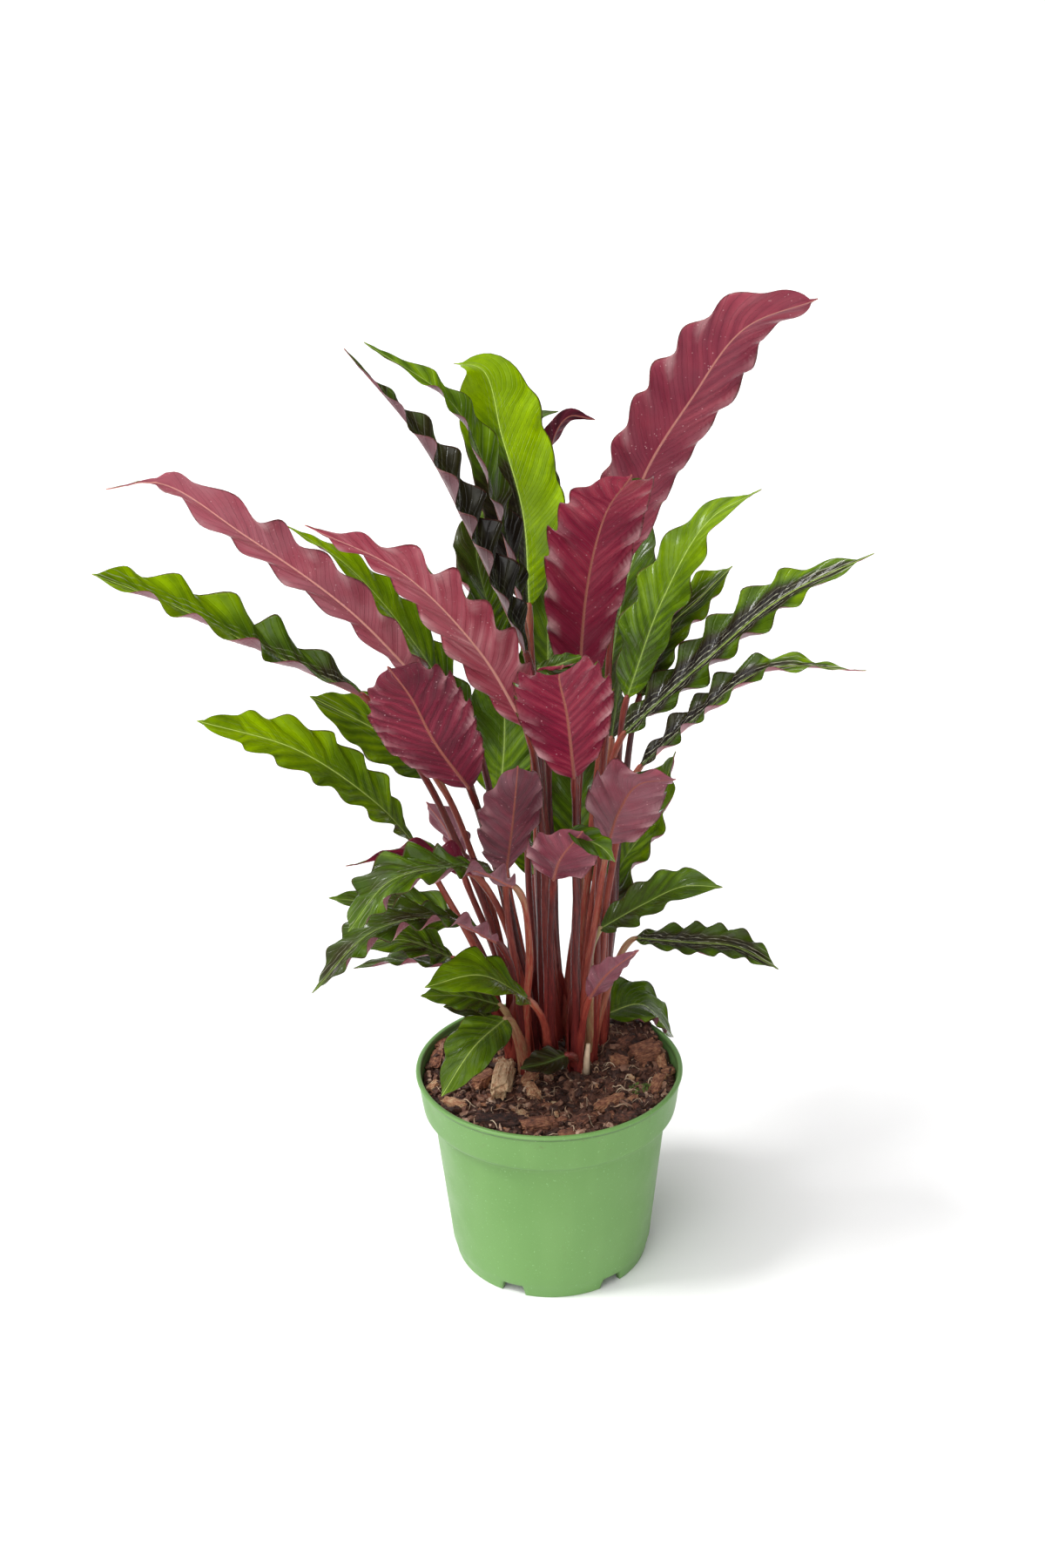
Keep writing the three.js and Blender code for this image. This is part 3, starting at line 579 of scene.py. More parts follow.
def leaf_under_material():
    """Velvety maroon, in places with a grey bloom, with a raised midrib, fine pale specks and painted pale
    pink highlights on the wave crests near the margin.
    """
    tree = material_tree("leaf_under")
    # The tone varies with painted light and shade across the pleats
    varied = tree.plus(tree.noise(26, 4), tree.times(painted_pleat_shading(tree), 0.4))
    tone = tree.tone(varied, 0.55, 0.37)
    base = tree.ramp(tone, [
        (0.0, 0.024, 0.003, 0.007),
        (0.3, 0.080, 0.006, 0.017),
        (0.5, 0.175, 0.010, 0.031),
        (0.7, 0.285, 0.034, 0.058),
        (0.85, 0.38, 0.088, 0.115),
        (1.0, 0.52, 0.20, 0.22),
    ])
    veins = vein_lines(tree)
    shown = tree.step(tree.noise(30, 2), 0.42, 0.6, 0.05, 0.5)
    darker = tree.tint(base, (0.62, 0.52, 0.58, 1))
    colour = tree.mix(tree.times(veins, shown), base, darker)
    # Painted highlight: pale pink patches on the wave crests of the lower face near the margin
    patchy = tree.step(tree.noise(60, 3), 0.35, 0.65, 0.15, 0.8)
    colour = tree.mix(tree.times(tree.value("painted_crest_highlight"), patchy), colour, (0.58, 0.33, 0.34, 1))
    line = tree.step(tree.value("spine"), 1.0, 0.6)
    patchy = tree.step(tree.noise(45, 3), 0.3, 0.7, 0.4, 0.9)
    bloom = tree.times(tree.value("strip"), patchy)
    colour = tree.mix(bloom, colour, (0.27, 0.15, 0.17, 1))
    rib_tone = tree.step(tree.value("tone"), 0.56, 0.68)
    rib_colour = tree.mix(rib_tone, (0.28, 0.085, 0.065, 1), (0.60, 0.26, 0.22, 1))
    colour = tree.mix(line, colour, rib_colour)
    specks = tree.step(tree.cells(520), 0.2, 0.08)
    chance = tree.step(tree.noise(170, 1), 0.52, 0.62, 0.0, 0.8)
    colour = tree.mix(tree.times(specks, chance), colour, (0.62, 0.34, 0.36, 1))
    edge = tree.step(tree.value("share"), 0.95, 0.995)
    colour = tree.mix(tree.times(edge, 0.45), colour, (0.16, 0.06, 0.04, 1))
    velvet = tree.times(tree.noise(1400, 2), 0.35)
    relief = tree.plus(velvet, tree.times(veins, 0.8))
    return tree.surface(colour, 0.33, 0.1, relief, 0.00025, 0.7)


def stalk_material():
    """Reddish brown plant skin with long tan and green streaks, redder near the soil, where the colour is
    also lifted as painted light against the shade of the clump.
    """
    tree = material_tree("stalk_skin")
    around = tree.value("around")
    along = tree.value("along")
    sine, cosine = tree.math("SINE", around), tree.math("COSINE", around)
    place = tree.joined(sine, cosine, tree.times(along, 1.3))
    tone = tree.tone(tree.noise(2.6, 4, 0.6, place), 0.8, 0.4)
    colour = tree.ramp(tone, [
        (0.0, 0.042, 0.010, 0.011),
        (0.3, 0.140, 0.019, 0.016),
        (0.55, 0.28, 0.052, 0.033),
        (0.78, 0.29, 0.145, 0.080),
        (1.0, 0.38, 0.29, 0.13),
    ])
    fine = tree.noise(7.0, 3, 0.6, place)
    darker = tree.tint(colour, (0.55, 0.5, 0.5, 1))
    colour = tree.mix(tree.step(fine, 0.4, 0.75, 0.0, 0.6), colour, darker)
    # Redder near the soil, the skin's own colour, and lighter there as painted light against the shade of
    # the clump
    low = tree.step(tree.height(), 0.20, 0.13, 0.0, 0.32)
    colour = tree.mix(tree.times(low, fine), colour, (0.26, 0.03, 0.026, 1))
    return tree.surface(colour, 0.25, 0.3, fine, 0.0004, 0.5)


# Pot and soil materials

def pot_material():
    """Light green moulded plastic with a satin skin, faint flow marks, a little soil dust and painted shade
    in the creases under the lip and under the band.
    """
    tree = material_tree("pot_plastic")
    broad = tree.noise(9, 3)
    green, pale_green = (0.122, 0.256, 0.068, 1), (0.142, 0.286, 0.084, 1)
    colour = tree.mix(tree.step(broad, 0.3, 0.7), green, pale_green)
    stretched = {"Vector": tree.place(), "Scale": (1, 1, 0.12)}
    flow = tree.noise(60, 2, 0.5, tree.add("ShaderNodeMapping", stretched)[0])
    lighter = tree.tint(colour, (1.12, 1.08, 1.12, 1))
    colour = tree.mix(tree.step(flow, 0.45, 0.7, 0.0, 0.5), colour, lighter)
    height = tree.height()
    near_rim = tree.step(height, 0.085, 0.108)
    dust = tree.step(tree.noise(240, 5, 0.7), 0.60, 0.74)
    dust = tree.times(dust, tree.plus(0.12, tree.times(near_rim, 0.3)))
    colour = tree.mix(dust, colour, (0.12, 0.085, 0.045, 1))
    # Painted shade: a deeper green line in the creases under the lip and under the band
    for shaded_crease in (POT_HEIGHT - LIP_HEIGHT, POT_HEIGHT - BAND_HEIGHT - 1.5):
        from_crease = tree.math("ABSOLUTE", tree.minus(height, shaded_crease * MM))
        near = tree.step(from_crease, 0.0012, 0.0003, 0.0, 0.6)
        colour = tree.mix(near, colour, (0.045, 0.085, 0.025, 1))
    scuffs = tree.step(tree.noise(900, 2), 0.66, 0.74, 0.0, 0.35)
    colour = tree.mix(scuffs, colour, (0.36, 0.62, 0.30, 1))
    shine = tree.step(tree.noise(45, 4), 0.3, 0.7, 0.34, 0.48)
    return tree.surface(colour, shine, 0.3, tree.noise(320, 3), 0.00012, 0.5)


def soil_material():
    """Moist dark peat with lighter dry grains and a slight glint."""
    tree = material_tree("peat")
    colour = tree.ramp(tree.tone(tree.noise(300, 6, 0.75), 1.1, 0.2), [
        (0.0, 0.014, 0.006, 0.004),
        (0.3, 0.060, 0.023, 0.014),
        (0.55, 0.150, 0.064, 0.038),
        (0.8, 0.29, 0.155, 0.10),
        (1.0, 0.55, 0.39, 0.28),
    ])
    return tree.surface(colour, 0.5, 0.4, tree.noise(1100, 5, 0.7), 0.0006, 0.9)


def bark_material():
    """Bark and wood bits, from near black through red brown and orange to tan, with long grain."""
    tree = material_tree("bark")
    place = tree.joined(tree.times(tree.value("along"), 0.25), tree.value("around"))
    grain = tree.noise(1.6, 5, 0.65, place)
    varied = tree.plus(tree.times(grain, 0.6), tree.times(tree.noise(330, 4), 0.5))
    colour = tree.ramp(tree.tone(varied, 1.9, 1.05), [
        (0.0, 0.018, 0.007, 0.005),
        (0.25, 0.075, 0.027, 0.017),
        (0.5, 0.23, 0.085, 0.045),
        (0.75, 0.45, 0.21, 0.105),
        (1.0, 0.66, 0.48, 0.28),
    ])
    relief = tree.plus(grain, tree.noise(900, 4, 0.7))
    return tree.surface(colour, 0.75, 0.5, relief, 0.0012, 0.9)


def strand_material(name, grain, detail, strength, stops):
    """Thin strands, each with a tone of its own."""
    tree = material_tree(name)
    colour = tree.ramp(tree.tone(tree.noise(grain, detail), 0.5, 0.25), stops)
    return tree.surface(colour, 0.6, 0.5, tree.noise(1500, 2), 0.0002, strength)


def fibre_material():
    """Dry pale root fibres."""
    return strand_material("fibre", 300, 3, 0.6, [
        (0.0, 0.10, 0.045, 0.03),
        (0.5, 0.36, 0.21, 0.13),
        (1.0, 0.66, 0.52, 0.36),
    ])


def moss_material():
    """Small green moss leaves, yellower at their tips."""
    return strand_material("moss", 500, 2, 0.5, [
        (0.0, 0.025, 0.045, 0.008),
        (0.6, 0.075, 0.15, 0.018),
        (1.0, 0.22, 0.30, 0.05),
    ])


def floor_material():
    """Pale matte studio floor."""
    tree = material_tree("studio_floor")
    colour = tree.mix(tree.noise(3, 2), (0.90, 0.90, 0.90, 1), (0.92, 0.92, 0.92, 1))
    return tree.surface(colour, 0.9, 0.1)


# Leaves

def path_reach(points):
    """The length along a path up to each of its points."""
    steps = np.linalg.norm(np.diff(points, axis=0), axis=1)
    return np.concatenate([[0], np.cumsum(steps)])


class Midrib:
    """A centripetal Catmull-Rom curve through a leaf's points, read by its share of the length."""

    SAMPLES = 120

    def __init__(self, path):
        p = np.asarray(path, float)
        p = np.vstack([2 * p[0] - p[1], p, 2 * p[-1] - p[-2]])
        gaps = np.sqrt(np.linalg.norm(np.diff(p, axis=0), axis=1))
        points = []
        for i in range(1, len(p) - 2):
            t1 = self.pull(p[i - 1], p[i], p[i + 1], gaps[i - 1], gaps[i]) * gaps[i]
            t2 = self.pull(p[i], p[i + 1], p[i + 2], gaps[i], gaps[i + 1]) * gaps[i]
            s = np.linspace(0, 1, self.SAMPLES + 1)[:, None]
            s = s if i == 1 else s[1:]
            bend = 3 * (p[i + 1] - p[i]) - 2 * t1 - t2
            ease = 2 * (p[i] - p[i + 1]) + t1 + t2
            points.append(p[i] + t1 * s + bend * s ** 2 + ease * s ** 3)
        self.points = np.vstack(points)
        self.reach = path_reach(self.points)
        self.length = self.reach[-1]

    @staticmethod
    def pull(before, here, after, gap_before, gap_after):
        return ((here - before) / gap_before - (after - before) / (gap_before + gap_after)
                + (after - here) / gap_after)

    def at(self, share):
        where = np.atleast_1d(share) * self.length
        return np.stack([np.interp(where, self.reach, self.points[:, i]) for i in range(3)], axis=-1)

    def heading(self, share):
        share = np.atleast_1d(share)
        return unit(self.at(np.clip(share + 0.004, 0, 1)) - self.at(np.clip(share - 0.004, 0, 1)))


def blade_outline(t, leaf):
    """Half width of a blade along its length, as a share of the widest."""
    widest = BASE_TAPER / (BASE_TAPER + leaf.taper)
    t = np.minimum(t / (1 - leaf.tail), 1)
    return (t / widest) ** BASE_TAPER * ((1 - t) / (1 - widest)) ** leaf.taper


def wave_heights(leaf, length, seed):
    """Where the crests and troughs of the margins are along the blade, and their heights, left and right."""
    draw = random_source(seed)
    waves = max(3, math.floor(length / leaf.wave + 0.5))
    stations = 2 * waves + 1
    flip = -1 if draw() < 0.5 else 1
    shares, left, right = [0.0], [0.0], [0.0]
    for k in range(1, stations):
        share = (k + WAVE_SHIFT * (draw() - 0.5)) / stations
        half = max(LEAST_HALF_WIDTH, leaf.width / 2 * blade_outline(share, leaf))
        swing = 1 if k % 2 == 0 else -1
        height = swing * WAVE_HEIGHT * leaf.ruffle * half * 2
        shares.append(share)
        left.append(flip * height * (0.6 + 0.8 * draw()))
        right.append(height * (0.6 + 0.8 * draw()))
    return np.array(shares + [1.0]), np.array(left + [0.0]), np.array(right + [0.0]), flip


def eased(heights, where):
    """A margin's wave between its crests and troughs."""
    low = np.clip(np.floor(where).astype(int), 0, len(heights) - 2)
    t = np.clip(where - low, 0, 1)
    ease = 0.5 - 0.5 * np.cos(math.pi * t)
    return heights[low] * (1 - ease) + heights[low + 1] * ease


def blade_frames(leaf, midrib, shares):
    """Centre, side and upper direction of the blade at shares of its length."""
    along = midrib.heading(shares)
    level = unit(np.cross(along, (0, 0, 1)))
    rise = np.cross(level, along)
    roll = np.radians(leaf.roll + leaf.twist * shares)[:, None]
    side = level * np.cos(roll) + rise * np.sin(roll)
    return midrib.at(shares), side, np.cross(side, along)


def blade_shape(leaf, seed):
    """The two faces of a blade as tables of points, and the values that its materials read."""
    midrib = Midrib(leaf.path)
    crests, left, right, flip = wave_heights(leaf, midrib.length, seed)
    stations = len(crests) - 1
    rows = stations * ROWS_PER_STATION + 1
    k = np.linspace(0, stations, rows)
    shares = np.interp(k, np.arange(stations + 1), crests)
    centre, side, face = [table[:, None, :] for table in blade_frames(leaf, midrib, shares)]
    thin = 0.25 + 0.9 * np.minimum(1, (1 - shares) / leaf.tail)
    least = np.where(shares < 0.5, LEAST_HALF_WIDTH, thin)
    half = np.maximum(leaf.width / 2 * blade_outline(shares, leaf), least)[:, None]
    k = k[:, None]
    v = np.array(COLUMNS)[None, :]
    reach = np.abs(v)
    # The folds follow the side veins, which lean towards the tip
    pitch = midrib.length / stations
    lead = VEIN_LEAN * half / pitch * (1 - reach)
    wave = np.where(v < 0, eased(left, k + lead), eased(right, k + lead))
    draw = random_source(seed + 500)
    phases = [math.tau * draw() for _ in range(3)]
    ripple = (np.sin(k * 2.3 + phases[0] + 1.7 * v) + np.sin(k * 3.9 + phases[1] - 2.1 * v)) * 0.5
    grow = (smooth_step(0, 0.12, shares) * smooth_step(1, 0.93, shares))[:, None]
    pleat = np.sin(math.tau * ((k + lead) * pitch / PLEAT_SPACING + 0.25 * np.sin(k * 1.9 + phases[2])))
    lift = leaf.keel * half * (np.sqrt(reach ** 2 + 0.05 ** 2) - 0.05)
    lift = lift + PLEAT_HEIGHT * pleat * smooth_step(0.05, 0.4, reach) * smooth_step(1, 0.8, reach) * grow
    lift = lift + wave * reach ** WAVE_EDGE + 0.03 * half * ripple * reach ** 2.5 * grow
    turn = np.where(v < 0, 0 if flip > 0 else 1, 0)
    notch = np.exp(-(np.abs(((k + turn - lead) % 2) - 1) / 0.42) ** 2) * grow * reach ** 3
    wander = np.sin(k * 1.3 + phases[2] + v) * reach ** 3
    spread = v * half * (1 - 0.06 * notch + 0.025 * wander)
    middle = centre + side * spread[..., None] + face * lift[..., None]
    inside = 1 - reach ** 2
    thick = 0.5 * BLADE_THICKNESS * (1 - reach ** 6)
    rise = (RIDGE_HEIGHT * (1 - shares) ** 0.8 + 0.12)[:, None]
    ridge = rise * np.exp(-(spread / RIDGE_WIDTH) ** 2) * inside
    groove = GROOVE_DEPTH * np.exp(-(spread / GROOVE_WIDTH) ** 2) * inside
    top = middle + face * (thick - groove)[..., None]
    bottom = middle - face * (thick + ridge)[..., None]
    values = {
        # Where the lower face gets its painted highlight: the wave crests near the margin
        "painted_crest_highlight": np.clip(-wave / 2.2 - 0.15, 0, 1) * smooth_step(0.55, 0.95, reach),
        "rib": np.abs(spread),
        "spine": np.abs(spread) / (1.0 - 0.65 * np.linspace(0, 1, rows)[:, None]),
        "share": reach + 0 * half,
        "vein": (k + lead) * pitch / VEIN_SPACING + np.where(v < 0, 0.37, 0),
    }
    return top, bottom, values


def blade_piece(name, leaf, order, seed, materials):
    """A leaf blade or a part of one: green upper face and maroon lower face that share their margin."""
    top, bottom, values = blade_shape(leaf, seed)
    rows, columns = top.shape[:2]
    count = rows * columns
    under_count = rows * (columns - 2)
    points = np.vstack([top.reshape(-1, 3), bottom[:, 1:-1].reshape(-1, 3)])
    upper = np.arange(count).reshape(rows, columns)
    lower = upper.copy()
    lower[:, 1:-1] = count + np.arange(under_count).reshape(rows, -1)
    upper, lower = upper.tolist(), lower.tolist()
    faces = grid_faces(rows, columns)
    surfaces = [0] * len(faces)
    for row, following in zip(lower, lower[1:]):
        faces += zip(row, following, following[1:], row[1:])
    first, last = [upper[r] + lower[r][-2:0:-1] for r in (0, -1)]
    faces += [tuple(reversed(first)), tuple(last)]
    surfaces += [1] * (len(faces) - len(surfaces))
    rise = np.linspace(0, 1, rows)[:, None]
    # Painted shade: the upper face goes from the lighter tip tone down to the darker base tone, shade inside
    # the plant
    light = leaf.base + (leaf.upper - leaf.base) * smooth_step(0.15, 0.7, rise)
    # Painted shadow: one half of the upper face darker towards the base
    darker = np.where(np.array(COLUMNS) * (1 if leaf.dark > 0 else -1) < 0, abs(leaf.dark), 0)
    light = light - darker * smooth_step(0.8, 0.4, rise)
    bloom = leaf.strip if leaf.shows == "maroon" else max(leaf.strip, GREEN_LEAST_BLOOM)
    held = {key: np.append(table, table[:, 1:-1]) for key, table in values.items()}
    held["tone"] = np.append(light, np.full(under_count, leaf.under))
    # The upper face holds how strong its painted reflection is, the lower face how strong its grey bloom is
    held["strip"] = np.repeat([leaf.strip, bloom], [count, under_count])
    shape = Shape(*held)
    shape.add(points, faces, surfaces, **held)
    node = f"shoot_{leaf.shoot}_blade_{order}"
    shape.piece(f"{name}_{leaf.shoot}_{order}", materials, node)


# Stalks

def stalk_route(leaf):
    """A stalk's curve from the soil to the collar, as on the construction model above the sheath."""
    x, y = SHOOTS[leaf.shoot]
    midrib = Midrib(leaf.path)
    collar = midrib.at(0)[0]
    heading = midrib.heading(0)[0]
    up = np.array([0, 0, 1.0])
    lean = unit(np.array([collar[0] - x, collar[1] - y, 0]))
    foot = np.array([x, y, SHEATH_SHOULDER - 6]) + 2 * lean
    span = np.linalg.norm(collar - foot)
    first = foot + up * span * 0.34 + lean * span * 0.04
    second = collar - heading * span * 0.13 - up * span * 0.04
    t = np.linspace(0, 1, STALK_RINGS)[:, None]
    s = 1 - t
    curve = s ** 3 * foot + 3 * s ** 2 * t * first + 3 * s * t ** 2 * second + t ** 3 * collar
    rooted = foot - up * STALK_FOOT_DEPTH + lean * 0.6
    return np.vstack([rooted, (rooted + foot) / 2, curve]), collar, heading


def stalk_shape(shape, leaf, seed):
    draw = random_source(seed)
    route, collar, heading = stalk_route(leaf)
    reach = path_reach(route)
    share = reach / reach[-1]
    left = reach[-1] - reach
    radii = STALK_FOOT_RADIUS - smooth_step(0, 45, reach) - 0.75 * share
    radii = radii + 0.35 * np.exp(-((left - 7) / 5) ** 2)
    wobble = 0.10 * np.sin(reach / (9 + 4 * draw()) + 6 * draw())
    route[:, 0] += 4 * wobble * np.sin(share * math.pi)
    route = np.vstack([route, collar + heading * 1.2])
    radii = np.append(radii + wobble, 1.0)
    points, faces, around = tube(route, radii, STALK_SIDES, STALK_FLATTEN)
    lengths = np.repeat(np.append(reach, reach[-1] + 1.2), STALK_SIDES)
    tone = 0.02 + 0.54 * draw() + (0.32 if draw() < 0.16 else 0)
    tone = tone + 0.16 * smooth_step(25, 5, reach[-1] - lengths)
    shape.add(points, faces, along=lengths / 30 + 10 * draw(), around=around, tone=tone)


def sheath_shape(shape, place, seed):
    """Old leaf bases wrapped round the foot of a shoot: open, pointed shells."""
    draw = random_source(seed)
    x, y = place
    for k in range(2):
        turn = math.tau * (draw() + k * 0.5)
        height = SHEATH_LEAST_HEIGHT + 30 * draw()
        width = 1.5 + 0.6 * draw()
        rows, columns = SHEATH_ROWS, SHEATH_COLUMNS
        outer, inner = [], []
        for r in range(rows):
            t = r / (rows - 1)
            radius = SHEATH_RADIUS - 1.5 * t
            open_share = (1 - t ** 3) * width
            for c in range(columns):
                s = c / (columns - 1) * 2 - 1
                angle = turn + s * open_share
                z = SOIL_TOP - 6 + height * t
                grow = 1 + 0.05 * math.sin(5 * s + 7 * t + seed)
                edge = 0.3 * (1 - s * s) + 0.08
                for table, part in ((outer, radius * grow), (inner, radius * grow - edge)):
                    table.append((x + part * math.cos(angle), y + part * math.sin(angle), z))
        count = rows * columns
        faces = grid_faces(rows, columns)
        faces += [tuple(reversed(face)) for face in grid_faces(rows, columns, start=count)]
        rim = [*range(columns), *range(2 * columns - 1, count, columns)]
        rim += [*range(count - 2, count - columns - 1, -1), *range(count - 2 * columns, 0, -columns)]
        faces += [(b, a, a + count, b + count) for a, b in zip(rim, rim[1:] + rim[:1])]
        shape.add(outer + inner, faces, along=4 * draw(), around=turn, tone=0.2 + 0.4 * draw())


def shoot_piece(letter, material):
    shape = Shape("along", "around", "tone")
    for i, leaf in enumerate(LEAVES):
        if leaf.shoot == letter:
            stalk_shape(shape, leaf, STALK_SEED + i)
    sheath_shape(shape, SHOOTS[letter], SHEATH_SEED + ord(letter))
    shape.piece(f"stalks_{letter}", [material], f"shoot_{letter}_stalks")


# Pot

def arc(centre, radius, start, end, steps=5):
    """Points on a round corner of the pot's outline, angles in degrees."""
    angles = np.radians(np.linspace(start, end, steps))
    return [(centre[0] + radius * math.cos(a), centre[1] + radius * math.sin(a)) for a in angles]


def beside(radius, height, steps):
    """Outline points at steps out and up from one place."""
    return [(radius + out, height + up) for out, up in steps]


def pot_outline():
    """The pot's section, up the outside from the underside and down the inside again to the floor."""
    band_foot = POT_HEIGHT - BAND_HEIGHT
    wall_top = band_foot - 4
    lip = RIM_RADIUS - LIP_PROUD
    inner = lip - POT_WALL
    ring_inner = FOOT_RADIUS - FOOT_RING_WIDTH
    inner_floor = FOOT_HEIGHT + POT_FLOOR
    outline = beside(PAN_RADIUS, 0, [(-1, 0), (0, 0.3), (1.6, FOOT_HEIGHT - 0.4), (2.4, FOOT_HEIGHT)])
    outline += beside(ring_inner, FOOT_HEIGHT, [(-0.6, 0), (0, -0.5)])
    outline += [(ring_inner, 0.3), (ring_inner + 0.3, 0), (FOOT_RADIUS - 0.4, 0)]
    outline += arc((FOOT_RADIUS - 0.4, 0.5), 0.5, -60, 0, 3)
    outline += beside(FOOT_RADIUS, 0, [(0.5, 1.6), (0.8, FOOT_HEIGHT * 0.5), (1.5, FOOT_HEIGHT)])
    outline += beside(WALL_FOOT_RADIUS, FOOT_HEIGHT, [(-0.3, 1.2), (0.15, 3)])
    for share in np.linspace(0.08, 0.97, 14):
        z = FOOT_HEIGHT + 2 + share * (wall_top - FOOT_HEIGHT - 2)
        outline.append((WALL_FOOT_RADIUS + share * (WALL_TOP_RADIUS - WALL_FOOT_RADIUS), z))
    shoulder = [(0.25, -3.6), (1.2, -2.6), (2.5, -1.9), (3.7, -1.2), (4.7, -0.3), (5.2, 0.6), (5.4, 1.6)]
    outline += beside(WALL_TOP_RADIUS, band_foot, shoulder)
    for share in np.linspace(0.15, 0.95, 8):
        z = band_foot + 1.2 + share * (BAND_HEIGHT - LIP_HEIGHT - 1.2)
        outline.append((BAND_FOOT_RADIUS + share * (lip - BAND_FOOT_RADIUS), z))
    outline += beside(lip, POT_HEIGHT - LIP_HEIGHT, [(0.1, -0.1), (0.5, 0.1)])
    outline += arc((RIM_RADIUS - 1.1, POT_HEIGHT - 1.1), 1.1, -25, 90, 8)
    outline += arc((inner + 0.8, POT_HEIGHT - 0.8), 0.8, 95, 180, 5)
    outline += [(inner - 0.3, POT_HEIGHT - 4), (BAND_FOOT_RADIUS - POT_WALL, band_foot + 1.2)]
    outline += [(WALL_TOP_RADIUS - POT_WALL, wall_top - 0.6), (WALL_FOOT_RADIUS - POT_WALL, inner_floor)]
    return outline + [(PAN_RADIUS + 1, inner_floor), (PAN_RADIUS - 1, POT_FLOOR)]


def notch_height(angle):
    """How high the foot is cut away at an angle round the pot."""
    pitch = 360 / NOTCH_COUNT
    from_notch = (math.degrees(angle) + 90 - NOTCH_TURN + pitch / 2) % pitch - pitch / 2
    half = math.degrees(NOTCH_WIDTH / 2 / FOOT_RADIUS)
    return (FOOT_HEIGHT - 0.3) * float(smooth_step(half + 0.9, half - 0.9, abs(from_notch)))


def pot_piece(material):
    outline = pot_outline()
    ring_zone = FOOT_RADIUS - FOOT_RING_WIDTH - 0.5
    points = [(0, 0, 0)]
    for r, z in outline:
        for x, y, angle in circle(r, POT_SIDES):
            low = notch_height(angle) if r > ring_zone and z < FOOT_HEIGHT else 0
            points.append((x, y, max(z, low)))
    points.append((0, 0, POT_FLOOR))
    end = len(points) - 1
    faces = grid_faces(len(outline), POT_SIDES, closed=True, start=1)
    faces += [tuple(reversed(face)) for face in fan_faces(1, POT_SIDES, 0)]
    faces += fan_faces(end - POT_SIDES, POT_SIDES, end)
    shape = Shape("tone")
    shape.add(points, faces)
    shape.piece("pot_shell", [material], "pot")


# Soil

def soil_rise(x, y):
    """Unevenness of the soil, as on the construction model."""
    mound = MOUND_HEIGHT * math.exp(-((x - MOUND_X) ** 2 + (y - MOUND_Y) ** 2) / MOUND_SPREAD)
    broad = math.sin(x * 0.17 + 1.3) * math.cos(y * 0.15 - 0.6)
    crumbs = math.sin(x * 0.61 + y * 0.23) * math.sin(y * 0.57 - x * 0.31 + 2.1)
    return mound + SOIL_ROUGHNESS * (0.5 * broad + 0.7 * crumbs)


def soil_height(x, y):
    """The soil's surface with its clods."""
    clods = noise.fractal(Vector((x * 0.11, y * 0.11, 3.7)), 0.9, 2.1, 4)
    return SOIL_TOP + soil_rise(x, y) + CLOD_HEIGHT * clods


def soil_top_radius():
    low = POT_HEIGHT - BAND_HEIGHT + 1.2
    share = (SOIL_TOP - low) / (POT_HEIGHT - 0.6 - low)
    inner = BAND_FOOT_RADIUS + share * (RIM_RADIUS - LIP_PROUD - BAND_FOOT_RADIUS) - POT_WALL
    return inner - 2 * SOIL_GAP


def soil_bed(material):
    """The whole body of soil: fine and uneven on top, plain where the pot hides it."""
    band_foot = POT_HEIGHT - BAND_HEIGHT
    floor = FOOT_HEIGHT + POT_FLOOR + SOIL_GAP
    top = soil_top_radius()
    hidden = [
        (PAN_RADIUS - 1.4, POT_FLOOR + SOIL_GAP),
        (PAN_RADIUS + 0.6, floor),
        (WALL_FOOT_RADIUS - POT_WALL - 2 * SOIL_GAP, floor),
        (WALL_TOP_RADIUS - POT_WALL - 2 * SOIL_GAP, band_foot - 5),
        (BAND_FOOT_RADIUS - POT_WALL - 3 * SOIL_GAP, band_foot + 1.4),
        (top, SOIL_TOP - 3),
    ]
    points = [(x, y, z) for r, z in hidden for x, y, _ in circle(r, SOIL_SIDES)]
    tones = [0.0] * len(points)
    for k in range(SOIL_RINGS):
        r = top * (1 - k / SOIL_RINGS)
        for x, y, _ in circle(r, SOIL_SIDES):
            points.append((x, y, soil_height(x, y) - 1.2 * float(smooth_step(top - 2, top, r))))
            tones.append(0.16 * noise.noise(Vector((x * 0.07, y * 0.07, 9))))
    end = len(points)
    faces = grid_faces(end // SOIL_SIDES, SOIL_SIDES, closed=True)
    faces.append(tuple(reversed(range(SOIL_SIDES))))
    faces += fan_faces(end - SOIL_SIDES, SOIL_SIDES, end)
    shape = Shape("tone")
    shape.add(points + [(0, 0, soil_height(0, 0))], faces, tone=tones + [0.0])
    shape.piece("soil_bed", [material], "soil")


def ball(subdivisions):
    """Points and faces of a unit icosphere."""
    mesh = bmesh.new()
    bmesh.ops.create_icosphere(mesh, subdivisions=subdivisions, radius=1)
    points = np.array([v.co for v in mesh.verts])
    faces = [tuple(v.index for v in f.verts) for f in mesh.faces]
    mesh.free()
    return points, faces


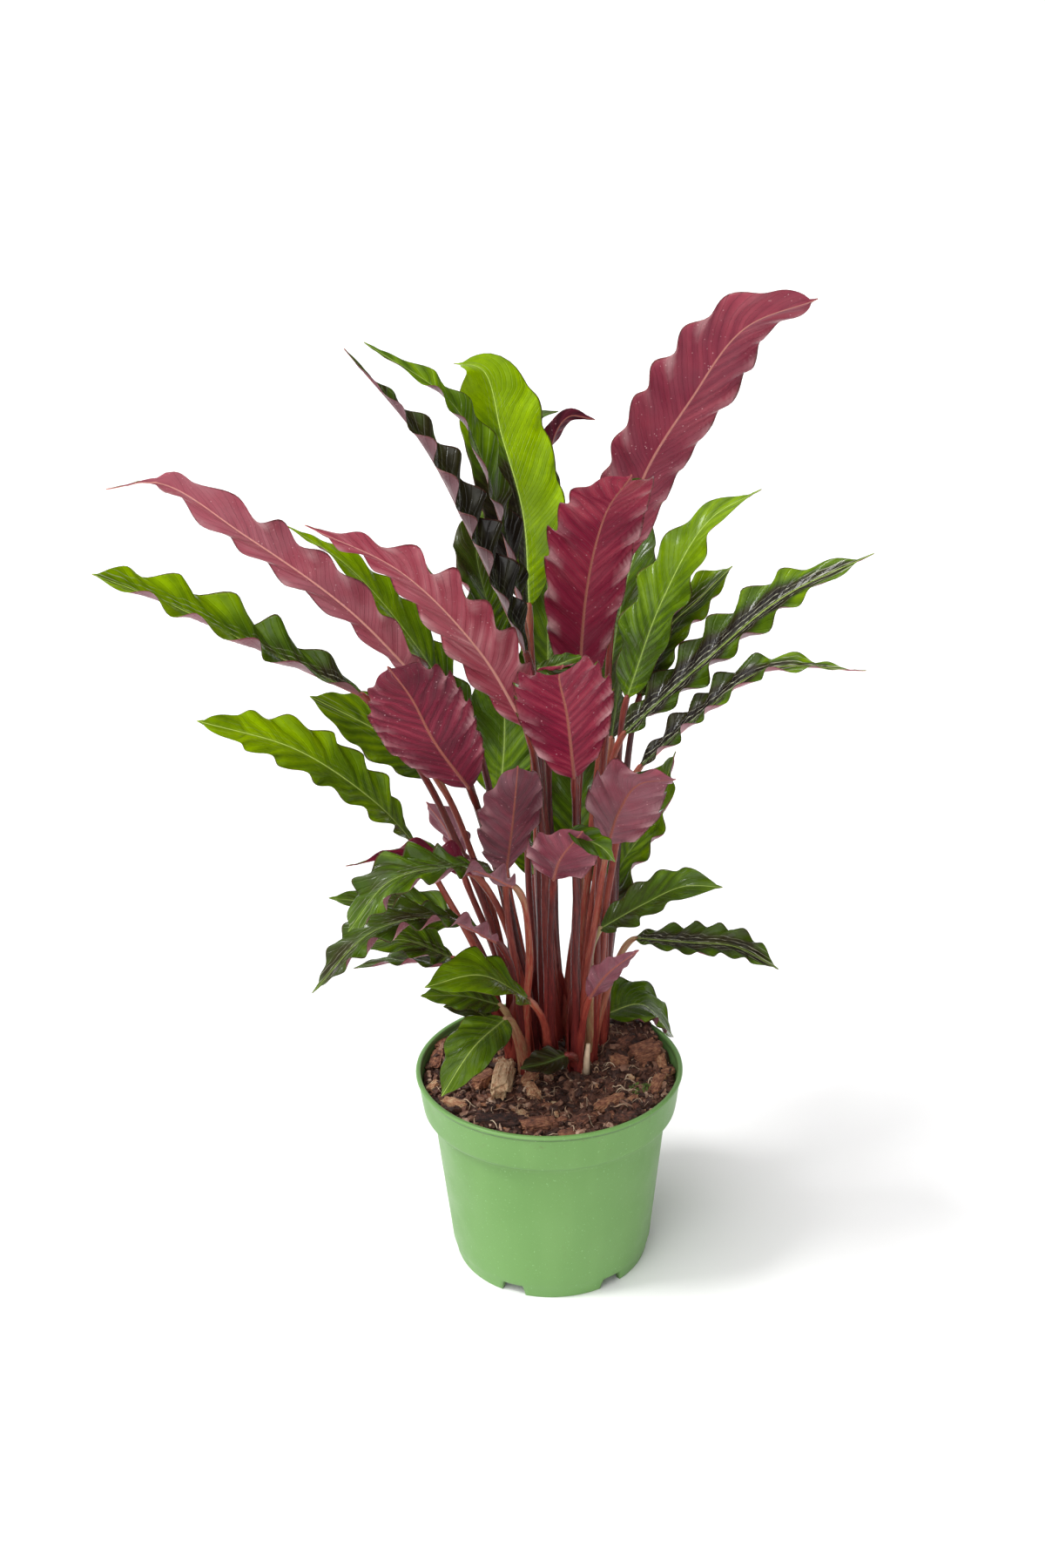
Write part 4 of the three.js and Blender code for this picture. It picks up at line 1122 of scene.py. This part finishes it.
def lump(base, size, turn, tilt, rough, offset, grain=0.0):
    """An irregular crumb, or a chip with grain along it: a ball pushed about by noise, scaled and turned."""
    points = base.copy()
    for i, p in enumerate(points):
        push = noise.noise(Vector(p) * 1.1 + Vector((offset, 0, 0)))
        push += 0.5 * noise.noise(Vector(p) * 2.7 + Vector((0, offset, 0)))
        if grain:
            ridges = noise.noise(Vector((p[0] * 0.9, p[1] * 6, p[2] * 6)) + Vector((offset, 0, 0)))
            broken = noise.noise(Vector((offset, p[1] * 4, p[2] * 4)))
            push += grain * (ridges + 1.6 * abs(p[0]) * broken)
        points[i] = p * (1 + rough * push)
    box = np.sign(points) * np.abs(points) ** (0.55 if grain else 0.7)
    points = box * np.array(size) / 2
    rotation = np.array(Matrix.Rotation(turn, 3, "Z") @ Matrix.Rotation(tilt, 3, "Y"))
    return points @ rotation.T, box


def in_soil(draw, margin=3):
    """A random place on the soil, clear of the rim."""
    reach = (soil_top_radius() - margin) * math.sqrt(draw())
    turn = math.tau * draw()
    return reach * math.cos(turn), reach * math.sin(turn)


def crumbs_piece(material):
    """Loose crumbs and flakes of peat of many sizes."""
    draw = random_source(71)
    shape = Shape("tone")
    fine, faces = ball(2)
    plain, plain_faces = ball(1)
    for k in range(CRUMB_COUNT):
        x, y = in_soil(draw, 1.5)
        size = 0.7 + 3.6 * draw() ** 3.5
        base, sides = (fine, faces) if size > 2.4 else (plain, plain_faces)
        shares = (0.8 + 1.4 * draw() ** 2, 0.5 + 0.5 * draw(), 0.35 + 0.45 * draw())
        spread = [size * share for share in shares]
        points, _ = lump(base, spread, 6.28 * draw(), 1.4 * (draw() - 0.5), 0.8, k * 0.37)
        shape.add(points + (x, y, soil_height(x, y) + 0.2 * size), sides, tone=0.8 * draw() ** 2 - 0.2)
    shape.piece("soil_crumbs", [material], "soil", smooth=False)


def bark_piece(material):
    """Bark bits: the big ones where the photograph shows them and small ones at random."""
    draw = random_source(31)
    shape = Shape("along", "around", "tone")
    fine, fine_faces = ball(5)
    plain, plain_faces = ball(3)
    bits = [(*bit, True) for bit in BARK]
    for _ in range(BARK_COUNT):
        x, y = in_soil(draw, 2.5)
        length = 2 + 8 * draw() ** 2.5
        size = (length, length * (0.35 + 0.3 * draw()), length * (0.2 + 0.2 * draw()))
        place = (x, y, soil_height(x, y) + 0.3)
        bits.append((place, *size, 360 * draw(), 0.1 + 0.85 * draw() ** 1.3, False))
    for k, (place, length, width, height, turn, tone, large) in enumerate(bits):
        base, sides = (fine, fine_faces) if large else (plain, plain_faces)
        tilt = 0.35 * (draw() - 0.5)
        points, box = lump(base, (length, width, height), math.radians(turn), tilt, 0.4, k * 1.9, 0.9)
        along = box[:, 0] * length / 2 + 20 * draw()
        around = box[:, 1] * width / 2 + box[:, 2] * height / 2
        shape.add(points + place, sides, along=along, around=around, tone=tone)
    shape.piece("bark_bits", [material], "soil")


def fibres_piece(material):
    """Thin curled root fibres on the soil."""
    draw = random_source(53)
    shape = Shape("tone")
    # A dry stub of an old stalk
    points, faces, _ = tube([(19.5, 0.6, 100), (19.8, 0.2, 112), (20.6, 0, 121)], [2.0, 1.7, 1.1], 9)
    shape.add(points, faces, tone=0.85)
    for _ in range(FIBRE_COUNT):
        x, y = in_soil(draw, 5)
        heading = math.tau * draw()
        length = 3 + 14 * draw()
        curl = (draw() - 0.5) * 0.5
        hump = 0.5 + 2.2 * draw()
        radius = 0.1 + 0.26 * draw() ** 2
        route = []
        for s in range(FIBRE_STEPS):
            rise = hump * math.sin(math.pi * s / (FIBRE_STEPS - 1))
            route.append((x, y, soil_height(x, y) + 0.2 + rise))
            x += length / FIBRE_STEPS * math.cos(heading)
            y += length / FIBRE_STEPS * math.sin(heading)
            heading += curl + 0.3 * (draw() - 0.5)
        if math.hypot(x, y) > soil_top_radius() - 2:
            continue
        swell = [math.sin(math.pi * (s + 1) / (FIBRE_STEPS + 1)) for s in range(FIBRE_STEPS)]
        points, faces, _ = tube(route, [radius * (0.4 + 0.6 * share) for share in swell], 6)
        shape.add(points, faces, tone=0.15 + 0.8 * draw())
    shape.piece("root_fibres", [material], "soil")


def moss_piece(material):
    """A small tuft of moss at the right front."""
    draw = random_source(17)
    shape = Shape("tone")
    for _ in range(MOSS_COUNT):
        angle = math.tau * draw()
        reach = 6 * draw() ** 0.7
        x, y = MOSS_X + reach * math.cos(angle), MOSS_Y + 0.7 * reach * math.sin(angle)
        foot = np.array([x, y, soil_height(x, y) - 0.2])
        lean = np.array([draw() - 0.5, draw() - 0.5, 0]) * 1.8
        tall = 1.2 + 1.6 * draw()
        route = [foot, foot + lean * 0.3 + (0, 0, tall * 0.5), foot + lean + (0, 0, tall)]
        points, faces, _ = tube(route, [0.22, 0.3, 0.06], 5)
        shape.add(points, faces, tone=0.3 + 0.6 * draw())
    shape.piece("moss_tuft", [material], "soil")


# Studio

def make_floor():
    mesh = bpy.data.meshes.new("floor")
    size = FLOOR_REACH * MM
    corners = [(-size, -size, 0), (size, -size, 0), (size, size, 0), (-size, size, 0)]
    mesh.from_pydata(corners, [], [(0, 1, 2, 3)])
    mesh.materials.append(floor_material())
    add_object("floor", mesh)


def make_world():
    """Soft studio surroundings: white low down, dimmer above and dimmest above on the right."""
    tree = ShaderTree(bpy.data.worlds.new("studio"))
    direction = tree.add("ShaderNodeTexCoord", {})["Generated"]
    across, _, height = tree.add("ShaderNodeSeparateXYZ", {0: direction})
    low, high, dim = WORLD_RIGHT
    above = tree.step(across, low, high, WORLD_HIGH, WORLD_HIGH * dim)
    strength = tree.step(height, *WORLD_FADE, WORLD_LOW, above)
    tree.fill(tree.nodes["Background"], {"Color": (1.0, 1.0, 1.0, 1), "Strength": strength})
    bpy.context.scene.world = tree.owner


def make_lights():
    """Suns of some angular size, each from its own direction."""
    for name, (towards, spread, power) in LIGHTS.items():
        light = bpy.data.lights.new(name, "SUN")
        light.angle = math.radians(spread)
        light.energy = power
        turn = Vector(towards).to_track_quat("Z", "Y").to_euler()
        add_object(name, light).rotation_euler = turn


def make_camera():
    data = bpy.data.cameras.new("camera")
    data.lens = CAMERA_LENS
    data.sensor_width = 36
    data.clip_start = 0.05
    data.clip_end = 60
    camera = add_object("camera", data)
    tilt = Matrix.Rotation(math.radians(90 - CAMERA_PITCH), 4, "X")
    roll = Matrix.Rotation(math.radians(CAMERA_ROLL), 4, "Z")
    camera.matrix_world = Matrix.Translation(Vector(CAMERA_PLACE) * MM) @ tilt @ roll
    bpy.context.scene.camera = camera


def build():
    make_camera()
    make_world()
    make_lights()
    make_floor()
    pot_piece(pot_material())
    peat = soil_material()
    soil_bed(peat)
    crumbs_piece(peat)
    bark_piece(bark_material())
    fibres_piece(fibre_material())
    moss_piece(moss_material())
    skin = stalk_material()
    for letter in SHOOTS:
        shoot_piece(letter, skin)
    faces = [leaf_upper_material(), leaf_under_material()]
    counts = {}
    for i, leaf in enumerate(LEAVES):
        counts[leaf.shoot] = counts.get(leaf.shoot, 0) + 1
        blade_piece("leaf", leaf, counts[leaf.shoot], LEAF_SEED + i, faces)
    for i, (order, row) in enumerate(CURLS):
        blade_piece("curl", read_leaf(row), order, CURL_SEED + i, faces)


bpy.context.scene.view_settings.view_transform = "Standard"
build()
